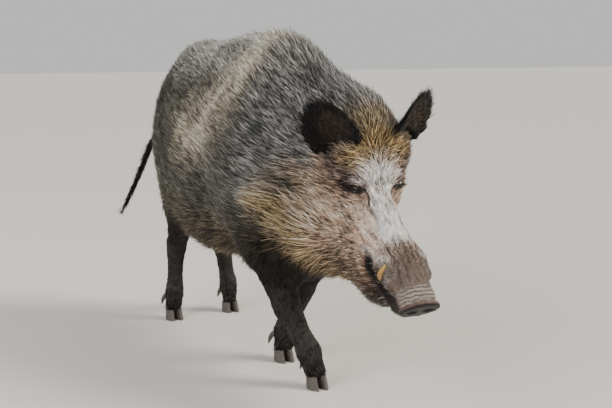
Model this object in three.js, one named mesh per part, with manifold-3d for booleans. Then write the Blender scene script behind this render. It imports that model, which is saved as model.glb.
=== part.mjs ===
// A wild boar tusker, life size, walking slowly with its head low.
// Millimetres, +Z up, +X towards the snout, +Y to the animal's left.
// All outer surfaces lie at the tips of the coat.
import * as THREE from "three";
import { mergeVertices } from "three/addons/utils/BufferGeometryUtils.js";
import Module from "manifold-3d";

const wasm = await Module();
wasm.setup();

// ---------------------------------------------------------------- driving dimensions
const WITHERS = 895; // height of the highest point of the back
const BELLY = 262; // height of the lowest point of the belly
const RUMP = -120; // rearmost point of the trunk, measured from the middle of the hind feet
const WHEELBASE = 690; // middle of the hind feet to middle of the fore feet
const STRIDE = 248; // how far the right fore foot is ahead of the left one
const HIND_TRACK = 198; // between the middles of the hind feet
const FORE_TRACK = 28; // the fore feet are set almost on one line
const TRUNK_WIDTH = 425;
const HEAD = { length: 480, at: [897, 45, 618], yaw: -6.5, pitch: 43, roll: 6 }; // poll to snout, nose down
const SNOUT = { at: [469, 0, 4], tilt: 14, width: 92, height: 72, thickness: 13 }; // facing forward and down
const EYE = { at: [155, 54, 33], radius: 12.5 }; // in the head's own frame, as are snout, ears and tusks
const EARS = {
  right: { at: [78, 50, 80], length: 150, width: 144, thickness: 12, turn: 38, lean: -31 }, // turned aside
  left: { at: [68, 52, 80], length: 144, width: 112, thickness: 12, turn: 30, lean: -34 }, // pricked
};
const TUSK = { at: [376, 50, -22], radius: 9 };
const HOOF = { length: 56, width: 26, height: 32 };
const DEWCLAW = { length: 24, radius: 8 };
const TAIL = { radius: 11 };
const CUT = 0.5; // width of the thin cut between neighbouring pieces

// ---------------------------------------------------------------- colours
const finish = (color, roughness) => new THREE.MeshStandardMaterial({ color, roughness, metalness: 0 });
const coatFinish = finish(0x5a5047, 0.85);
const faceFinish = finish(0x8a7a68, 0.85);
const darkCoatFinish = finish(0x2b2624, 0.85);
const snoutFinish = finish(0x6e5a52, 0.6);
const hoofFinish = finish(0x6f6f6a, 0.55);
const tuskFinish = finish(0xb08a3c, 0.4);
const eyeFinish = finish(0x1a110c, 0.1);

// ---------------------------------------------------------------- fields
// A field gives the signed distance from a point to a surface, negative inside.
const radians = THREE.MathUtils.degToRad;

const frameOf = (at, [roll, pitch, yaw] = [0, 0, 0]) =>
  new THREE.Matrix4().compose(
    new THREE.Vector3(...at),
    new THREE.Quaternion().setFromEuler(new THREE.Euler(radians(roll), radians(pitch), radians(yaw), "ZYX")),
    new THREE.Vector3(1, 1, 1),
  );

// The same field, seen from a frame that stands somewhere else.
const placed = (frame, field) => {
  const m = frame.clone().invert().elements;
  return (x, y, z) =>
    field(
      m[0] * x + m[4] * y + m[8] * z + m[12],
      m[1] * x + m[5] * y + m[9] * z + m[13],
      m[2] * x + m[6] * y + m[10] * z + m[14],
    );
};

const ellipsoid = ([rx, ry, rz]) => (x, y, z) => {
  const near = Math.hypot(x / rx, y / ry, z / rz);
  const slope = Math.hypot(x / (rx * rx), y / (ry * ry), z / (rz * rz));
  return slope === 0 ? -Math.min(rx, ry, rz) : (near * (near - 1)) / slope;
};

const mass = (at, radii, turn) => placed(frameOf(at, turn), ellipsoid(radii));

// A round bar from a to b whose radius goes from ra to rb; flat narrows it sideways.
const bar = (a, b, ra, rb, flat = 1) => {
  const [dx, dy, dz] = [b[0] - a[0], (b[1] - a[1]) / flat, b[2] - a[2]];
  const length2 = dx * dx + dy * dy + dz * dz;
  return (x, y, z) => {
    const [px, py, pz] = [x - a[0], (y - a[1]) / flat, z - a[2]];
    const t = THREE.MathUtils.clamp((px * dx + py * dy + pz * dz) / length2, 0, 1);
    return (Math.hypot(px - t * dx, py - t * dy, pz - t * dz) - (ra + t * (rb - ra))) * Math.min(1, flat);
  };
};

const smoothMin = (a, b, k) => {
  const h = Math.max(k - Math.abs(a - b), 0) / k;
  return Math.min(a, b) - (h * h * k) / 4;
};

// Joins fields with a fillet about k wide.
const blend = (k, first, ...others) => (x, y, z) =>
  others.reduce((d, field) => smoothMin(d, field(x, y, z), k), first(x, y, z));

// Presses hollows into a field, with edges rounded about k wide.
const pressed = (k, field, ...hollows) => (x, y, z) =>
  hollows.reduce((d, hollow) => -smoothMin(-d, hollow(x, y, z), k), field(x, y, z));

// A chain of bars through joints, each [point, radius].
const limb = (joints, flat, k = 18) =>
  blend(k, ...joints.slice(1).map(([b, rb], i) => bar(joints[i][0], b, joints[i][1], rb, flat)));

const bothSides = (field) => (x, y, z) => field(x, Math.abs(y), z);

// ---------------------------------------------------------------- trunk and neck
const halfWidth = TRUNK_WIDTH / 2;
const trunk = blend(
  70,
  mass([RUMP + 163, 0, 668], [163, 134, 198]), // rump
  mass([300, 0, 590], [320, halfWidth - 8, 280]), // barrel
  mass([290, 0, BELLY + 162], [290, halfWidth - 30, 162]), // belly
  mass([590, 0, 595], [235, 185, 275]), // chest
  mass([470, 0, WITHERS - 119], [215, 68, 110]), // withers
  mass([122, 0, 795], [92, 78, 76]), // hips
  bothSides(mass([600, 100, 560], [150, 82, 230], [0, -12, 0])), // shoulders
  bothSides(mass([75, 84, 560], [145, 78, 215], [0, 10, 0])), // thighs
);
const neck = blend(
  60,
  bar([640, 0, 625], HEAD.at, 195, 128, 0.86),
  bar([560, 0, 780], [HEAD.at[0] + 10, HEAD.at[1], HEAD.at[2] + 60], 88, 60, 0.9), // crest
  bar([720, 0, 405], [HEAD.at[0] + 24, HEAD.at[1] - 16, 420], 142, 104, 0.86), // throat
);

// ---------------------------------------------------------------- head
// In its own frame, X runs to the snout and Z to the forehead.
const headFrame = frameOf(HEAD.at, [HEAD.roll, HEAD.pitch, HEAD.yaw]);
const headMasses = blend(
  24,
  mass([52, 0, 36], [112, 86, 84]), // cranium
  bothSides(mass([66, 54, 54], [58, 48, 44])), // temples
  bothSides(mass([55, 49, -55], [98, 57, 92])), // jowls
  bothSides(mass([124, 32, -14], [62, 22, 38])), // cheekbones
  bothSides(mass([148, 36, 58], [30, 17, 16])), // brows
  bothSides(mass([250, 30, -36], [80, 26, 38])), // upper lips
  bar([196, 0, 10], [450, 0, 6], 40, 46, 0.9), // muzzle
  bar([130, 0, -112], [388, 0, -76], 88, 40, 0.88), // lower jaw
  bothSides(mass([352, 36, -4], [48, 24, 36])), // lip raised by the tusk
  mass([272, 0, -132], [104, 68, 58]), // beard
);
const headShape = pressed(
  10,
  headMasses,
  bothSides(mass([EYE.at[0] + 4, EYE.at[1] + 17, EYE.at[2] + 6], [20, 13, 14])), // eye sockets
);
const head = placed(headFrame, headShape);
const snoutFrame = headFrame.clone().multiply(frameOf(SNOUT.at, [0, SNOUT.tilt, 0]));

// ---------------------------------------------------------------- legs
const footprints = {
  fore_right: [WHEELBASE + STRIDE / 2, -FORE_TRACK / 2],
  fore_left: [WHEELBASE - STRIDE / 2, FORE_TRACK / 2],
  hind_right: [6, -HIND_TRACK / 2],
  hind_left: [-6, HIND_TRACK / 2],
};
const sideOf = (name) => (name.endsWith("right") ? -1 : 1);
const toeTop = (foot, toe) => [foot[0] - 8, foot[1] + toe * 15, HOOF.height];

const foreLeg = (foot, side) => {
  const reach = foot[0] - WHEELBASE;
  const elbow = [660 + 0.1 * reach, side * 100, 375];
  const knee = [652 + 0.6 * reach, side * 60, 205];
  const fetlock = [foot[0] - 20 - 0.06 * reach, foot[1] + side * 10, 88];
  return blend(
    22,
    limb([[[620, side * 100, 470], 92], [elbow, 70], [knee, 38]], 0.8, 30),
    limb([[knee, 36], [fetlock, 30]], 0.95),
    ...[-1, 1].map((toe) => bar(fetlock, toeTop(foot, toe), 25, 16)),
  );
};

const hindLeg = (foot, side) => {
  const stifle = [150, side * 112, 430];
  const hock = [foot[0] - 24, side * 80, 232];
  const fetlock = [foot[0] - 10, foot[1] * 0.96, 90];
  return blend(
    22,
    limb([[[80, side * 88, 560], 110], [stifle, 78], [hock, 34]], 0.75, 40),
    mass([hock[0] - 14, hock[1], hock[2] + 10], [22, 16, 28]), // point of the hock
    limb([[hock, 32], [fetlock, 26]], 0.9),
    ...[-1, 1].map((toe) => bar(fetlock, toeTop(foot, toe), 22, 15)),
  );
};

const legFields = Object.fromEntries(
  Object.entries(footprints).map(([name, foot]) => {
    return [name, name.startsWith("fore") ? foreLeg(foot, sideOf(name)) : hindLeg(foot, sideOf(name))];
  }),
);

const bodyWith = (...legs) => blend(45, trunk, neck, head, ...legs.map((name) => legFields[name]));
const body = bodyWith(...Object.keys(legFields));

// ---------------------------------------------------------------- from field to mesh
// Fills the grid points at which the surface would touch itself, so each cell holds one sheet of it at most.
function closePinches(values, [nx, ny, nz], index) {
  const faces = [
    [0, 1, 3, 2],
    [0, 1, 5, 4],
    [0, 2, 6, 4],
  ];
  const at = (i, j, k, n) => index(i + (n & 1), j + ((n >> 1) & 1), k + (n >> 2));
  let filled = 1;
  while (filled) {
    filled = 0;
    for (let k = 0; k < nz - 1; k++)
      for (let j = 0; j < ny - 1; j++)
        for (let i = 0; i < nx - 1; i++) {
          for (const face of faces) {
            const inside = face.map((n) => values[at(i, j, k, n)] < 0);
            if (inside[0] !== inside[2] || inside[1] !== inside[3] || inside[0] === inside[1]) continue;
            values[at(i, j, k, face[inside[0] ? 1 : 0])] = -0.1;
            filled++;
          }
          for (const n of [0, 1, 2, 3]) {
            const inside = [0, 1, 2, 3, 4, 5, 6, 7].map((m) => values[at(i, j, k, m)] < 0);
            const odd = inside.filter((v) => v !== inside[n]).length;
            if (inside[n] !== inside[7 - n] || odd !== 6) continue;
            values[at(i, j, k, inside[n] ? n ^ 1 : n)] = -0.1;
            filled++;
          }
        }
  }
}

// Surface nets: one vertex in each grid cell that the surface crosses, one quad round each crossed grid edge.
function skinOf(field, low, high, cell) {
  const count = low.map((v, i) => Math.ceil((high[i] - v) / cell[i]) + 1);
  const [nx, ny, nz] = count;
  const index = (i, j, k) => i + nx * (j + ny * k);
  const onRim = (...cellAt) => cellAt.some((n, c) => n === 0 || n === count[c] - 1);
  const values = new Float64Array(nx * ny * nz);
  for (let k = 0; k < nz; k++)
    for (let j = 0; j < ny; j++)
      for (let i = 0; i < nx; i++)
        values[index(i, j, k)] = onRim(i, j, k)
          ? 1
          : field(low[0] + i * cell[0], low[1] + j * cell[1], low[2] + k * cell[2]);

  const corners = [0, 1, 2, 3, 4, 5, 6, 7].map((n) => [n & 1, (n >> 1) & 1, n >> 2]);
  closePinches(values, count, index);
  const edges = corners.flatMap((a, m) =>
    corners.map((b, n) => [m, n]).filter(([p, q]) => p < q && [1, 2, 4].includes(p ^ q)),
  );
  const points = [];
  const cellPoint = new Map();
  const capped = new Set(); // points on the flat caps where the surface leaves the grid
  for (let k = 0; k < nz - 1; k++)
    for (let j = 0; j < ny - 1; j++)
      for (let i = 0; i < nx - 1; i++) {
        const sum = [0, 0, 0];
        let crossings = 0;
        for (const [m, n] of edges) {
          const [a, b] = [corners[m], corners[n]];
          const va = values[index(i + a[0], j + a[1], k + a[2])];
          const vb = values[index(i + b[0], j + b[1], k + b[2])];
          if (va < 0 === vb < 0) continue;
          const t = va / (va - vb);
          for (let c = 0; c < 3; c++) sum[c] += a[c] + t * (b[c] - a[c]);
          crossings++;
        }
        if (!crossings) continue;
        cellPoint.set(index(i, j, k), points.length / 3);
        points.push(...[i, j, k].map((n, c) => low[c] + (n + sum[c] / crossings) * cell[c]));
        if (onRim(i, j, k) || onRim(i + 1, j + 1, k + 1)) capped.add(points.length - 3);
      }

  // Each point then slides along the field's slope onto the surface itself.
  const step = 1;
  for (let n = 0; n < points.length; n += 3)
    for (let pass = 0; pass < 3 && !capped.has(n); pass++) {
      const [x, y, z] = points.slice(n, n + 3);
      const d = field(x, y, z);
      const slope = [
        (field(x + step, y, z) - field(x - step, y, z)) / (2 * step),
        (field(x, y + step, z) - field(x, y - step, z)) / (2 * step),
        (field(x, y, z + step) - field(x, y, z - step)) / (2 * step),
      ];
      const steepness = Math.max(slope.reduce((s, g) => s + g * g, 0), 0.25);
      slope.forEach((g, c) => (points[n + c] -= (0.8 * d * g) / steepness));
    }

  const triangles = [];
  const quad = (a, b, c, d, flip) => {
    const ring = [a, b, c, d].map((key) => cellPoint.get(key));
    const [p, q, r, s] = flip ? ring.reverse() : ring;
    triangles.push(p, q, r, p, r, s);
  };
  for (let k = 0; k < nz - 1; k++)
    for (let j = 0; j < ny - 1; j++)
      for (let i = 0; i < nx - 1; i++) {
        const inside = values[index(i, j, k)] < 0;
        if (inside !== values[index(i + 1, j, k)] < 0)
          quad(index(i, j - 1, k - 1), index(i, j, k - 1), index(i, j, k), index(i, j - 1, k), !inside);
        if (inside !== values[index(i, j + 1, k)] < 0)
          quad(index(i - 1, j, k - 1), index(i - 1, j, k), index(i, j, k), index(i, j, k - 1), !inside);
        if (inside !== values[index(i, j, k + 1)] < 0)
          quad(index(i - 1, j - 1, k), index(i, j - 1, k), index(i, j, k), index(i - 1, j, k), !inside);
      }
  return new THREE.BufferGeometry()
    .setAttribute("position", new THREE.BufferAttribute(new Float32Array(points), 3))
    .setIndex(triangles);
}

// ---------------------------------------------------------------- solids
function solidOf(geometry) {
  const bare = geometry.clone();
  bare.deleteAttribute("normal");
  bare.deleteAttribute("uv");
  const merged = mergeVertices(bare, 1e-3);
  const made = new wasm.Manifold(
    new wasm.Mesh({
      numProp: 3,
      vertProperties: merged.attributes.position.array,
      triVerts: new Uint32Array(merged.index.array),
    }),
  );
  return made;
}

// A skin moved outwards by the width of a cut, to trim what stands on it.
function grown(skin) {
  const geometry = skin.clone();
  geometry.computeVertexNormals();
  const { position, normal } = geometry.attributes;
  position.array.forEach((v, i) => (position.array[i] = v + normal.array[i] * CUT));
  return solidOf(geometry);
}

// The same geometry with an index, which an extrusion lacks.
const indexed = (geometry) =>
  geometry.setIndex([...Array(geometry.attributes.position.count).keys()]);

function geometryOf(solid) {
  const { numProp, vertProperties, triVerts } = solid.getMesh();
  const positions = new Float32Array((vertProperties.length / numProp) * 3);
  for (let i = 0; i < positions.length / 3; i++)
    positions.set(vertProperties.subarray(i * numProp, i * numProp + 3), i * 3);
  const geometry = new THREE.BufferGeometry()
    .setAttribute("position", new THREE.BufferAttribute(positions, 3))
    .setIndex(new THREE.BufferAttribute(triVerts, 1));
  geometry.computeVertexNormals();
  return geometry;
}

// A box that stands in a frame, from its low to its high corner, grown by margin.
function block(frame, low, high, margin = 0) {
  const size = low.map((v, i) => high[i] - v + 2 * margin);
  const middle = low.map((v, i) => (v + high[i]) / 2);
  return solidOf(new THREE.BoxGeometry(...size).translate(...middle).applyMatrix4(frame));
}

const largest = (solid) => solid.decompose().sort((a, b) => b.volume() - a.volume())[0];

// A closed round bar swept along a curve; radiusAt gives its radius from 0 at the root to 1 at the tip.
function swept(points, radiusAt, sides, rings, flat = 1) {
  const curve = new THREE.CatmullRomCurve3(points.map((p) => new THREE.Vector3(...p)));
  const frames = curve.computeFrenetFrames(rings);
  const geometry = new THREE.CylinderGeometry(1, 1, 1, sides, rings);
  const at = geometry.attributes.position;
  for (let i = 0; i < at.count; i++) {
    const ring = Math.round((0.5 - at.getY(i)) * rings);
    const radius = radiusAt(ring / rings);
    const point = curve
      .getPoint(ring / rings)
      .addScaledVector(frames.normals[ring], at.getX(i) * radius * flat)
      .addScaledVector(frames.binormals[ring], at.getZ(i) * radius);
    at.setXYZ(i, point.x, point.y, point.z);
  }
  return outward(geometry);
}

// Turns the faces of a closed geometry round if they point inwards.
function outward(geometry) {
  const { position } = geometry.attributes;
  const index = geometry.index.array;
  const corner = [0, 1, 2].map(() => new THREE.Vector3());
  let volume = 0;
  for (let i = 0; i < index.length; i += 3) {
    corner.forEach((v, n) => v.fromBufferAttribute(position, index[i + n]));
    volume += corner[0].dot(corner[1].clone().cross(corner[2]));
  }
  if (volume < 0) index.reverse();
  return geometry;
}

// A leaf standing on its root: Z up to the tip, hollow towards +X, with thin rims.
function leaf({ length, width, thickness }) {
  const geometry = new THREE.SphereGeometry(1, 12, 8).rotateX(Math.PI / 2);
  const at = geometry.attributes.position;
  for (let i = 0; i < at.count; i++) {
    const [x, y, z] = [at.getX(i), at.getY(i), at.getZ(i)];
    const rise = 0.5 + 0.5 * z;
    const breadth = 1.08 - 0.16 * rise;
    const across = y * breadth;
    const cupping = 0.3 * width * across * across * (1 - 0.6 * rise);
    at.setXYZ(i, (x * thickness) / 2 + cupping, (across * width) / 2, rise * length);
  }
  return outward(geometry);
}

// One half of a cloven hoof: a pointed sole on the floor, walls leaning back to a smaller top.
function hoof() {
  const { length, width, height } = HOOF;
  const sole = new THREE.Shape()
    .moveTo(-length / 2, -width * 0.3)
    .quadraticCurveTo(-length / 2, width * 0.5, -length * 0.1, width / 2)
    .quadraticCurveTo(length * 0.35, width * 0.42, length / 2, -width * 0.28)
    .quadraticCurveTo(length * 0.3, -width * 0.42, -length * 0.2, -width * 0.42)
    .closePath();
  const geometry = new THREE.ExtrudeGeometry(sole, { depth: height, bevelEnabled: false, curveSegments: 4 });
  const at = geometry.attributes.position;
  for (let i = 0; i < at.count; i++) {
    const rise = at.getZ(i) / height;
    at.setX(i, at.getX(i) * (1 - 0.28 * rise) - 7 * rise);
    at.setY(i, at.getY(i) * (1 - 0.1 * rise));
  }
  return geometry;
}

const regions = {
  head: [headFrame, [-5, -260, -195], [HEAD.length, 230, 260]],
  neck: [frameOf([760, 0, 640], [0, -25, 0]), [0, -400, -420], [900, 400, 400]],
  fore_right: [frameOf([655, -110, 245], [13, 0, 0]), [-95, -150, -460], [250, 107, 100]],
  fore_left: [frameOf([640, 110, 245], [-13, 0, 0]), [-150, -107, -460], [110, 150, 100]],
  hind_right: [frameOf([90, -110, 400], [0, 12, 0]), [-320, -150, -500], [150, 109, 0]],
  hind_left: [frameOf([90, 110, 400], [0, 12, 0]), [-320, -109, -500], [150, 150, 0]],
};
const regionBlock = (name, margin = 0) => block(...regions[name], margin);

const boar = new THREE.Group();
function add(name, solid, material) {
  const mesh = new THREE.Mesh(geometryOf(largest(solid)), material);
  mesh.name = name;
  boar.add(mesh);
}

const trunkSkin = skinOf(body, [-260, -330, 120], [1100, 330, 1040], [62, 45, 46]);
const trunkSolid = Object.keys(regions).reduce(
  (solid, name) => solid.subtract(regionBlock(name, CUT)),
  solidOf(trunkSkin),
);
add("trunk", trunkSolid, coatFinish);

const neckSolid = ["head", "fore_right", "fore_left"].reduce(
  (solid, name) => solid.subtract(regionBlock(name, CUT)),
  solidOf(skinOf(body, [420, -330, 180], [1300, 330, 1040], [36, 34, 34])).intersect(regionBlock("neck")),
);
add("neck", neckSolid, coatFinish);

for (const [name, foot] of Object.entries(footprints)) {
  const side = sideOf(name);
  const low = [foot[0] - 220, Math.min(foot[1], side < 0 ? -230 : -110), -30];
  const high = [foot[0] + 330, Math.max(foot[1], side > 0 ? 230 : 110), 520];
  const underFoot = block(frameOf([0, 0, 0]), [-2000, -2000, -200], [2000, 2000, HOOF.height + CUT]);
  const legSkin = skinOf(bodyWith(name), low, high, [26, 22, 38]);
  const leg = solidOf(legSkin)
    .intersect(regionBlock(name))
    .subtract(underFoot)
    .subtract(regionBlock("head", CUT));
  add("leg_" + name, leg, darkCoatFinish);

  for (const [toeName, toe] of [["inner", -side], ["outer", side]]) {
    const sole = hoof()
      .scale(1, toe, 1)
      .rotateZ(radians(toe * 7))
      .translate(foot[0], foot[1] + toe * 15, 0);
    add(`hoof_${name}_${toeName}`, solidOf(outward(indexed(sole))), hoofFinish);

    const [x, y, z] = [foot[0] - 38, foot[1] + toe * 22, 66];
    const claw = swept(
      [[x + 14, y - toe * 6, z + 12], [x, y, z], [x - 8, y + toe * 5, z - DEWCLAW.length]],
      (t) => DEWCLAW.radius * Math.sqrt(1.04 - t * t),
      6,
      3,
    );
    add(`dewclaw_${name}_${toeName}`, solidOf(claw).subtract(grown(legSkin)), hoofFinish);
  }
}

const inHead = (geometry, side = 1) => outward(geometry.scale(1, side, 1).applyMatrix4(headFrame));
const headSkin = skinOf(body, [700, -260, 130], [1420, 330, 920], [21, 21, 21]);
const grownHead = grown(headSkin);
const beforeSnout = block(snoutFrame, [-SNOUT.thickness / 2 - CUT, -200, -200], [200, 200, 200]);
let headSolid = solidOf(headSkin).intersect(regionBlock("head")).subtract(beforeSnout);
for (const [name, side] of [["right", -1], ["left", 1]]) {
  const eye = (radius) => solidOf(inHead(new THREE.SphereGeometry(radius, 10, 7).translate(...EYE.at), side));
  headSolid = headSolid.subtract(eye(EYE.radius + CUT));
  add(`eye_${name}`, eye(EYE.radius), eyeFinish);

  const ear = leaf(EARS[name])
    .rotateZ(radians(EARS[name].turn))
    .rotateY(radians(-38))
    .rotateX(radians(EARS[name].lean))
    .rotateZ(radians(-20))
    .translate(...EARS[name].at);
  add(`ear_${name}`, solidOf(inHead(ear, side)).subtract(grownHead), darkCoatFinish);

  const [x, y, z] = TUSK.at;
  const tusk = swept(
    [[x - 14, y - 28, z - 24], [x, y, z], [x - 2, y + 9, z + 24], [x - 16, y + 9, z + 42]],
    (t) => TUSK.radius * Math.sqrt(1.03 - t * t),
    6,
    5,
    0.75,
  );
  add(`tusk_${name}`, solidOf(inHead(tusk, side)).subtract(grownHead), tuskFinish);
}
add("head", headSolid, faceFinish);

// The disc of the snout, with two nostrils sunk into it.
const inSnout = (geometry) => solidOf(outward(geometry.applyMatrix4(snoutFrame)));
const disc = inSnout(
  new THREE.CylinderGeometry(1, 0.94, SNOUT.thickness, 20)
    .rotateZ(-Math.PI / 2)
    .scale(1, SNOUT.height / 2, SNOUT.width / 2)
    .rotateX(Math.PI / 2),
);
const nostrils = [-1, 1].map((side) =>
  inSnout(
    new THREE.CylinderGeometry(9, 7, 20, 8)
      .rotateZ(-Math.PI / 2)
      .scale(1, 1.15, 0.8)
      .translate(SNOUT.thickness / 2 + 1, side * 19, 2),
  ),
);
add("snout", nostrils.reduce((solid, hole) => solid.subtract(hole), disc), snoutFinish);

// ---------------------------------------------------------------- tail
const tail = swept(
  [
    [RUMP + 25, 0, 690],
    [RUMP - 12, -30, 655],
    [RUMP - 22, -105, 560],
    [RUMP - 32, -150, 455],
    [RUMP - 46, -188, 368],
    [RUMP - 52, -212, 320],
  ],
  (t) => TAIL.radius * (1.3 - 0.7 * t) * Math.min(1, 5 * (1.02 - t)),
  8,
  12,
);
add("tail", solidOf(tail).subtract(grown(trunkSkin)), darkCoatFinish);

// ---------------------------------------------------------------- stands on the floor, centred on its box
const extent = new THREE.Box3().setFromObject(boar);
const centre = extent.getCenter(new THREE.Vector3());
boar.position.set(-centre.x, -centre.y, -extent.min.z);

export default boar;
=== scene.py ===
import math

import bmesh
import bpy
import numpy as np
from bpy.props import FloatProperty, FloatVectorProperty, IntProperty, PointerProperty
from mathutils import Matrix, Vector
from mathutils.bvhtree import BVHTree
from mathutils.kdtree import KDTree


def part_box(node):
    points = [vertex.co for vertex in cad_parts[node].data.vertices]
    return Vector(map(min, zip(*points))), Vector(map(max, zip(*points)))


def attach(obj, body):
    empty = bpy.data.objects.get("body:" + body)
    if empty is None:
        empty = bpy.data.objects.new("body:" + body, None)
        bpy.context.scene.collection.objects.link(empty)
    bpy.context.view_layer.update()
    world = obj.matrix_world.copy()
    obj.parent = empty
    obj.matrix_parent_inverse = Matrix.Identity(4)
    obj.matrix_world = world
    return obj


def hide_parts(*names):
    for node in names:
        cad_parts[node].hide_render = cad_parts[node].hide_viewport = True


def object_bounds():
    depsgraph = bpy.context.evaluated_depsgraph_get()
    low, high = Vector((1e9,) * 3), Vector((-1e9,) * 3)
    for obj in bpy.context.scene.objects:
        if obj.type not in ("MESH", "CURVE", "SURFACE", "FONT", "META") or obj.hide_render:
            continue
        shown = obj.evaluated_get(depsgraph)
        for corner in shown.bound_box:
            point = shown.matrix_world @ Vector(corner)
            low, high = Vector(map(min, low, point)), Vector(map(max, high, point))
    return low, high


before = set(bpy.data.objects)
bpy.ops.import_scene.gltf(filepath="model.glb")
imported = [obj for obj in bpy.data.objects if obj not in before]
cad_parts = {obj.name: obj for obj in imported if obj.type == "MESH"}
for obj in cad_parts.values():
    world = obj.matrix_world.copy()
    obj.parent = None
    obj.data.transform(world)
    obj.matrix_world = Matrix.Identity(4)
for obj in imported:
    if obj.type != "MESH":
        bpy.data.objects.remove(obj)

START_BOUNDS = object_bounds()

bl_info = {
    "name": "Wild Boar",
    "version": (1, 0, 0),
    "blender": (4, 5, 0),
    "location": "View3D > Sidebar > Boar",
    "description": "Builds the hide, bristles, eyes, tusks and hooves of a life-size wild boar",
    "category": "Object",
}

MM = 0.001
FLESH = (
    "trunk",
    "neck",
    "head",
    "snout",
    "ear_left",
    "ear_right",
    "leg_fore_left",
    "leg_fore_right",
    "leg_hind_left",
    "leg_hind_right",
    "tail",
)
EARS = FLESH[4:6]
LEGS = FLESH[6:10]
SIDES = {"left": 1, "right": -1}
MOST_TUFTS = 32000  # in one piece of the coat, at six triangles a tuft


# ---------------------------------------------------------------- small helpers
def linear(colour):
    """A colour picked as sRGB hex, such as "8f8473", as linear red, green and blue."""
    parts = [int(colour[i : i + 2], 16) / 255 for i in (0, 2, 4)]
    return np.array([c / 12.92 if c <= 0.04045 else ((c + 0.055) / 1.055) ** 2.4 for c in parts])


def step(low, high, value):
    """0 below low, 1 above high, smooth between; high may lie below low."""
    t = np.clip((value - low) / (high - low), 0, 1)
    return t * t * (3 - 2 * t)


def hump(value, centre, width):
    """1 at the centre, falling smoothly to 0 a few widths away."""
    return np.exp(-(((value - centre) / width) ** 2))


def spot(points, centre, radii):
    """1 at the centre of an ellipsoid, falling smoothly to about a third at its surface."""
    return np.exp(-(((points - np.array(centre)) / np.array(radii)) ** 2).sum(1))


def streak(points, start, end, radius):
    """1 along the line from start to end, falling smoothly to about a third a radius away."""
    start, end = np.array(start, float), np.array(end, float)
    along = np.clip((points - start) @ (end - start) / ((end - start) @ (end - start)), 0, 1)
    away = np.linalg.norm(points - start - along[:, None] * (end - start), axis=1)
    return np.exp(-((away / radius) ** 2))


def unit(vectors):
    """The vectors, each with a length of one."""
    return vectors / np.maximum(np.linalg.norm(vectors, axis=-1, keepdims=True), 1e-9)


def ripple(points, size, seed):
    """Soft noise from -1 to 1 with lumps about size across, the same on every run."""
    rng = np.random.default_rng(seed)
    waves = unit(rng.normal(size=(9, 3))) * (2 * math.pi / size) * rng.uniform(0.6, 1.5, (9, 1))
    return np.sin(points @ waves.T + rng.uniform(0, 6.28, 9)).sum(1) / 4.0


def drawn_out(points, direction, share=0.85):
    """Points squeezed along a direction, so that a ripple of them is long that way."""
    direction = unit(np.array(direction, float))
    return points - share * (points @ direction)[:, None] * direction


def centre_of(node):
    """The middle of a node's box, in metres."""
    low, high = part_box(node)
    return (np.array(low) + np.array(high)) / 2


def points_of(mesh):
    """The mesh's vertices, as rows of x, y and z."""
    points = np.empty(len(mesh.vertices) * 3)
    mesh.vertices.foreach_get("co", points)
    return points.reshape(-1, 3)


def faces_of(mesh):
    """The mesh's triangles, as rows of three vertex numbers."""
    mesh.calc_loop_triangles()
    faces = np.empty(len(mesh.loop_triangles) * 3, dtype=np.int64)
    mesh.loop_triangles.foreach_get("vertices", faces)
    return faces.reshape(-1, 3)


def make_object(name, points, faces):
    """A new object from points in metres and faces that all have the same number of corners."""
    mesh = bpy.data.meshes.new(name)
    corners = faces.shape[1]
    mesh.vertices.add(len(points))
    mesh.vertices.foreach_set("co", np.ascontiguousarray(points, dtype=np.float32).ravel())
    mesh.loops.add(faces.size)
    mesh.loops.foreach_set("vertex_index", np.ascontiguousarray(faces, dtype=np.int32).ravel())
    mesh.polygons.add(len(faces))
    mesh.polygons.foreach_set("loop_start", np.arange(0, faces.size, corners, dtype=np.int32))
    mesh.polygons.foreach_set("use_smooth", np.ones(len(faces), dtype=bool))
    mesh.update(calc_edges=True)
    mesh.validate()
    obj = bpy.data.objects.new(name, mesh)
    bpy.context.scene.collection.objects.link(obj)
    return obj


def paint(mesh, name, colours):
    """Keeps linear colours, one for each vertex, as a colour attribute."""
    rgba = np.ones((len(colours), 4), dtype=np.float32)
    rgba[:, :3] = colours
    layer = mesh.color_attributes.new(name, "FLOAT_COLOR", "POINT")
    layer.data.foreach_set("color", rgba.ravel())


def keep(mesh, name, values):
    """Keeps one number, or one vector, for each vertex as an attribute."""
    values = np.ascontiguousarray(values, dtype=np.float32)
    if values.ndim == 1:
        mesh.attributes.new(name, "FLOAT", "POINT").data.foreach_set("value", values)
    else:
        mesh.attributes.new(name, "FLOAT_VECTOR", "POINT").data.foreach_set("vector", values.ravel())


def kept(mesh, name):
    """The numbers or vectors that an attribute of the mesh holds."""
    data = mesh.attributes[name].data
    if mesh.attributes[name].data_type == "FLOAT":
        values = np.empty(len(data), dtype=np.float32)
        data.foreach_get("value", values)
        return values.astype(float)
    values = np.empty(len(data) * 3, dtype=np.float32)
    data.foreach_get("vector", values)
    return values.reshape(-1, 3).astype(float)


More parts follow.
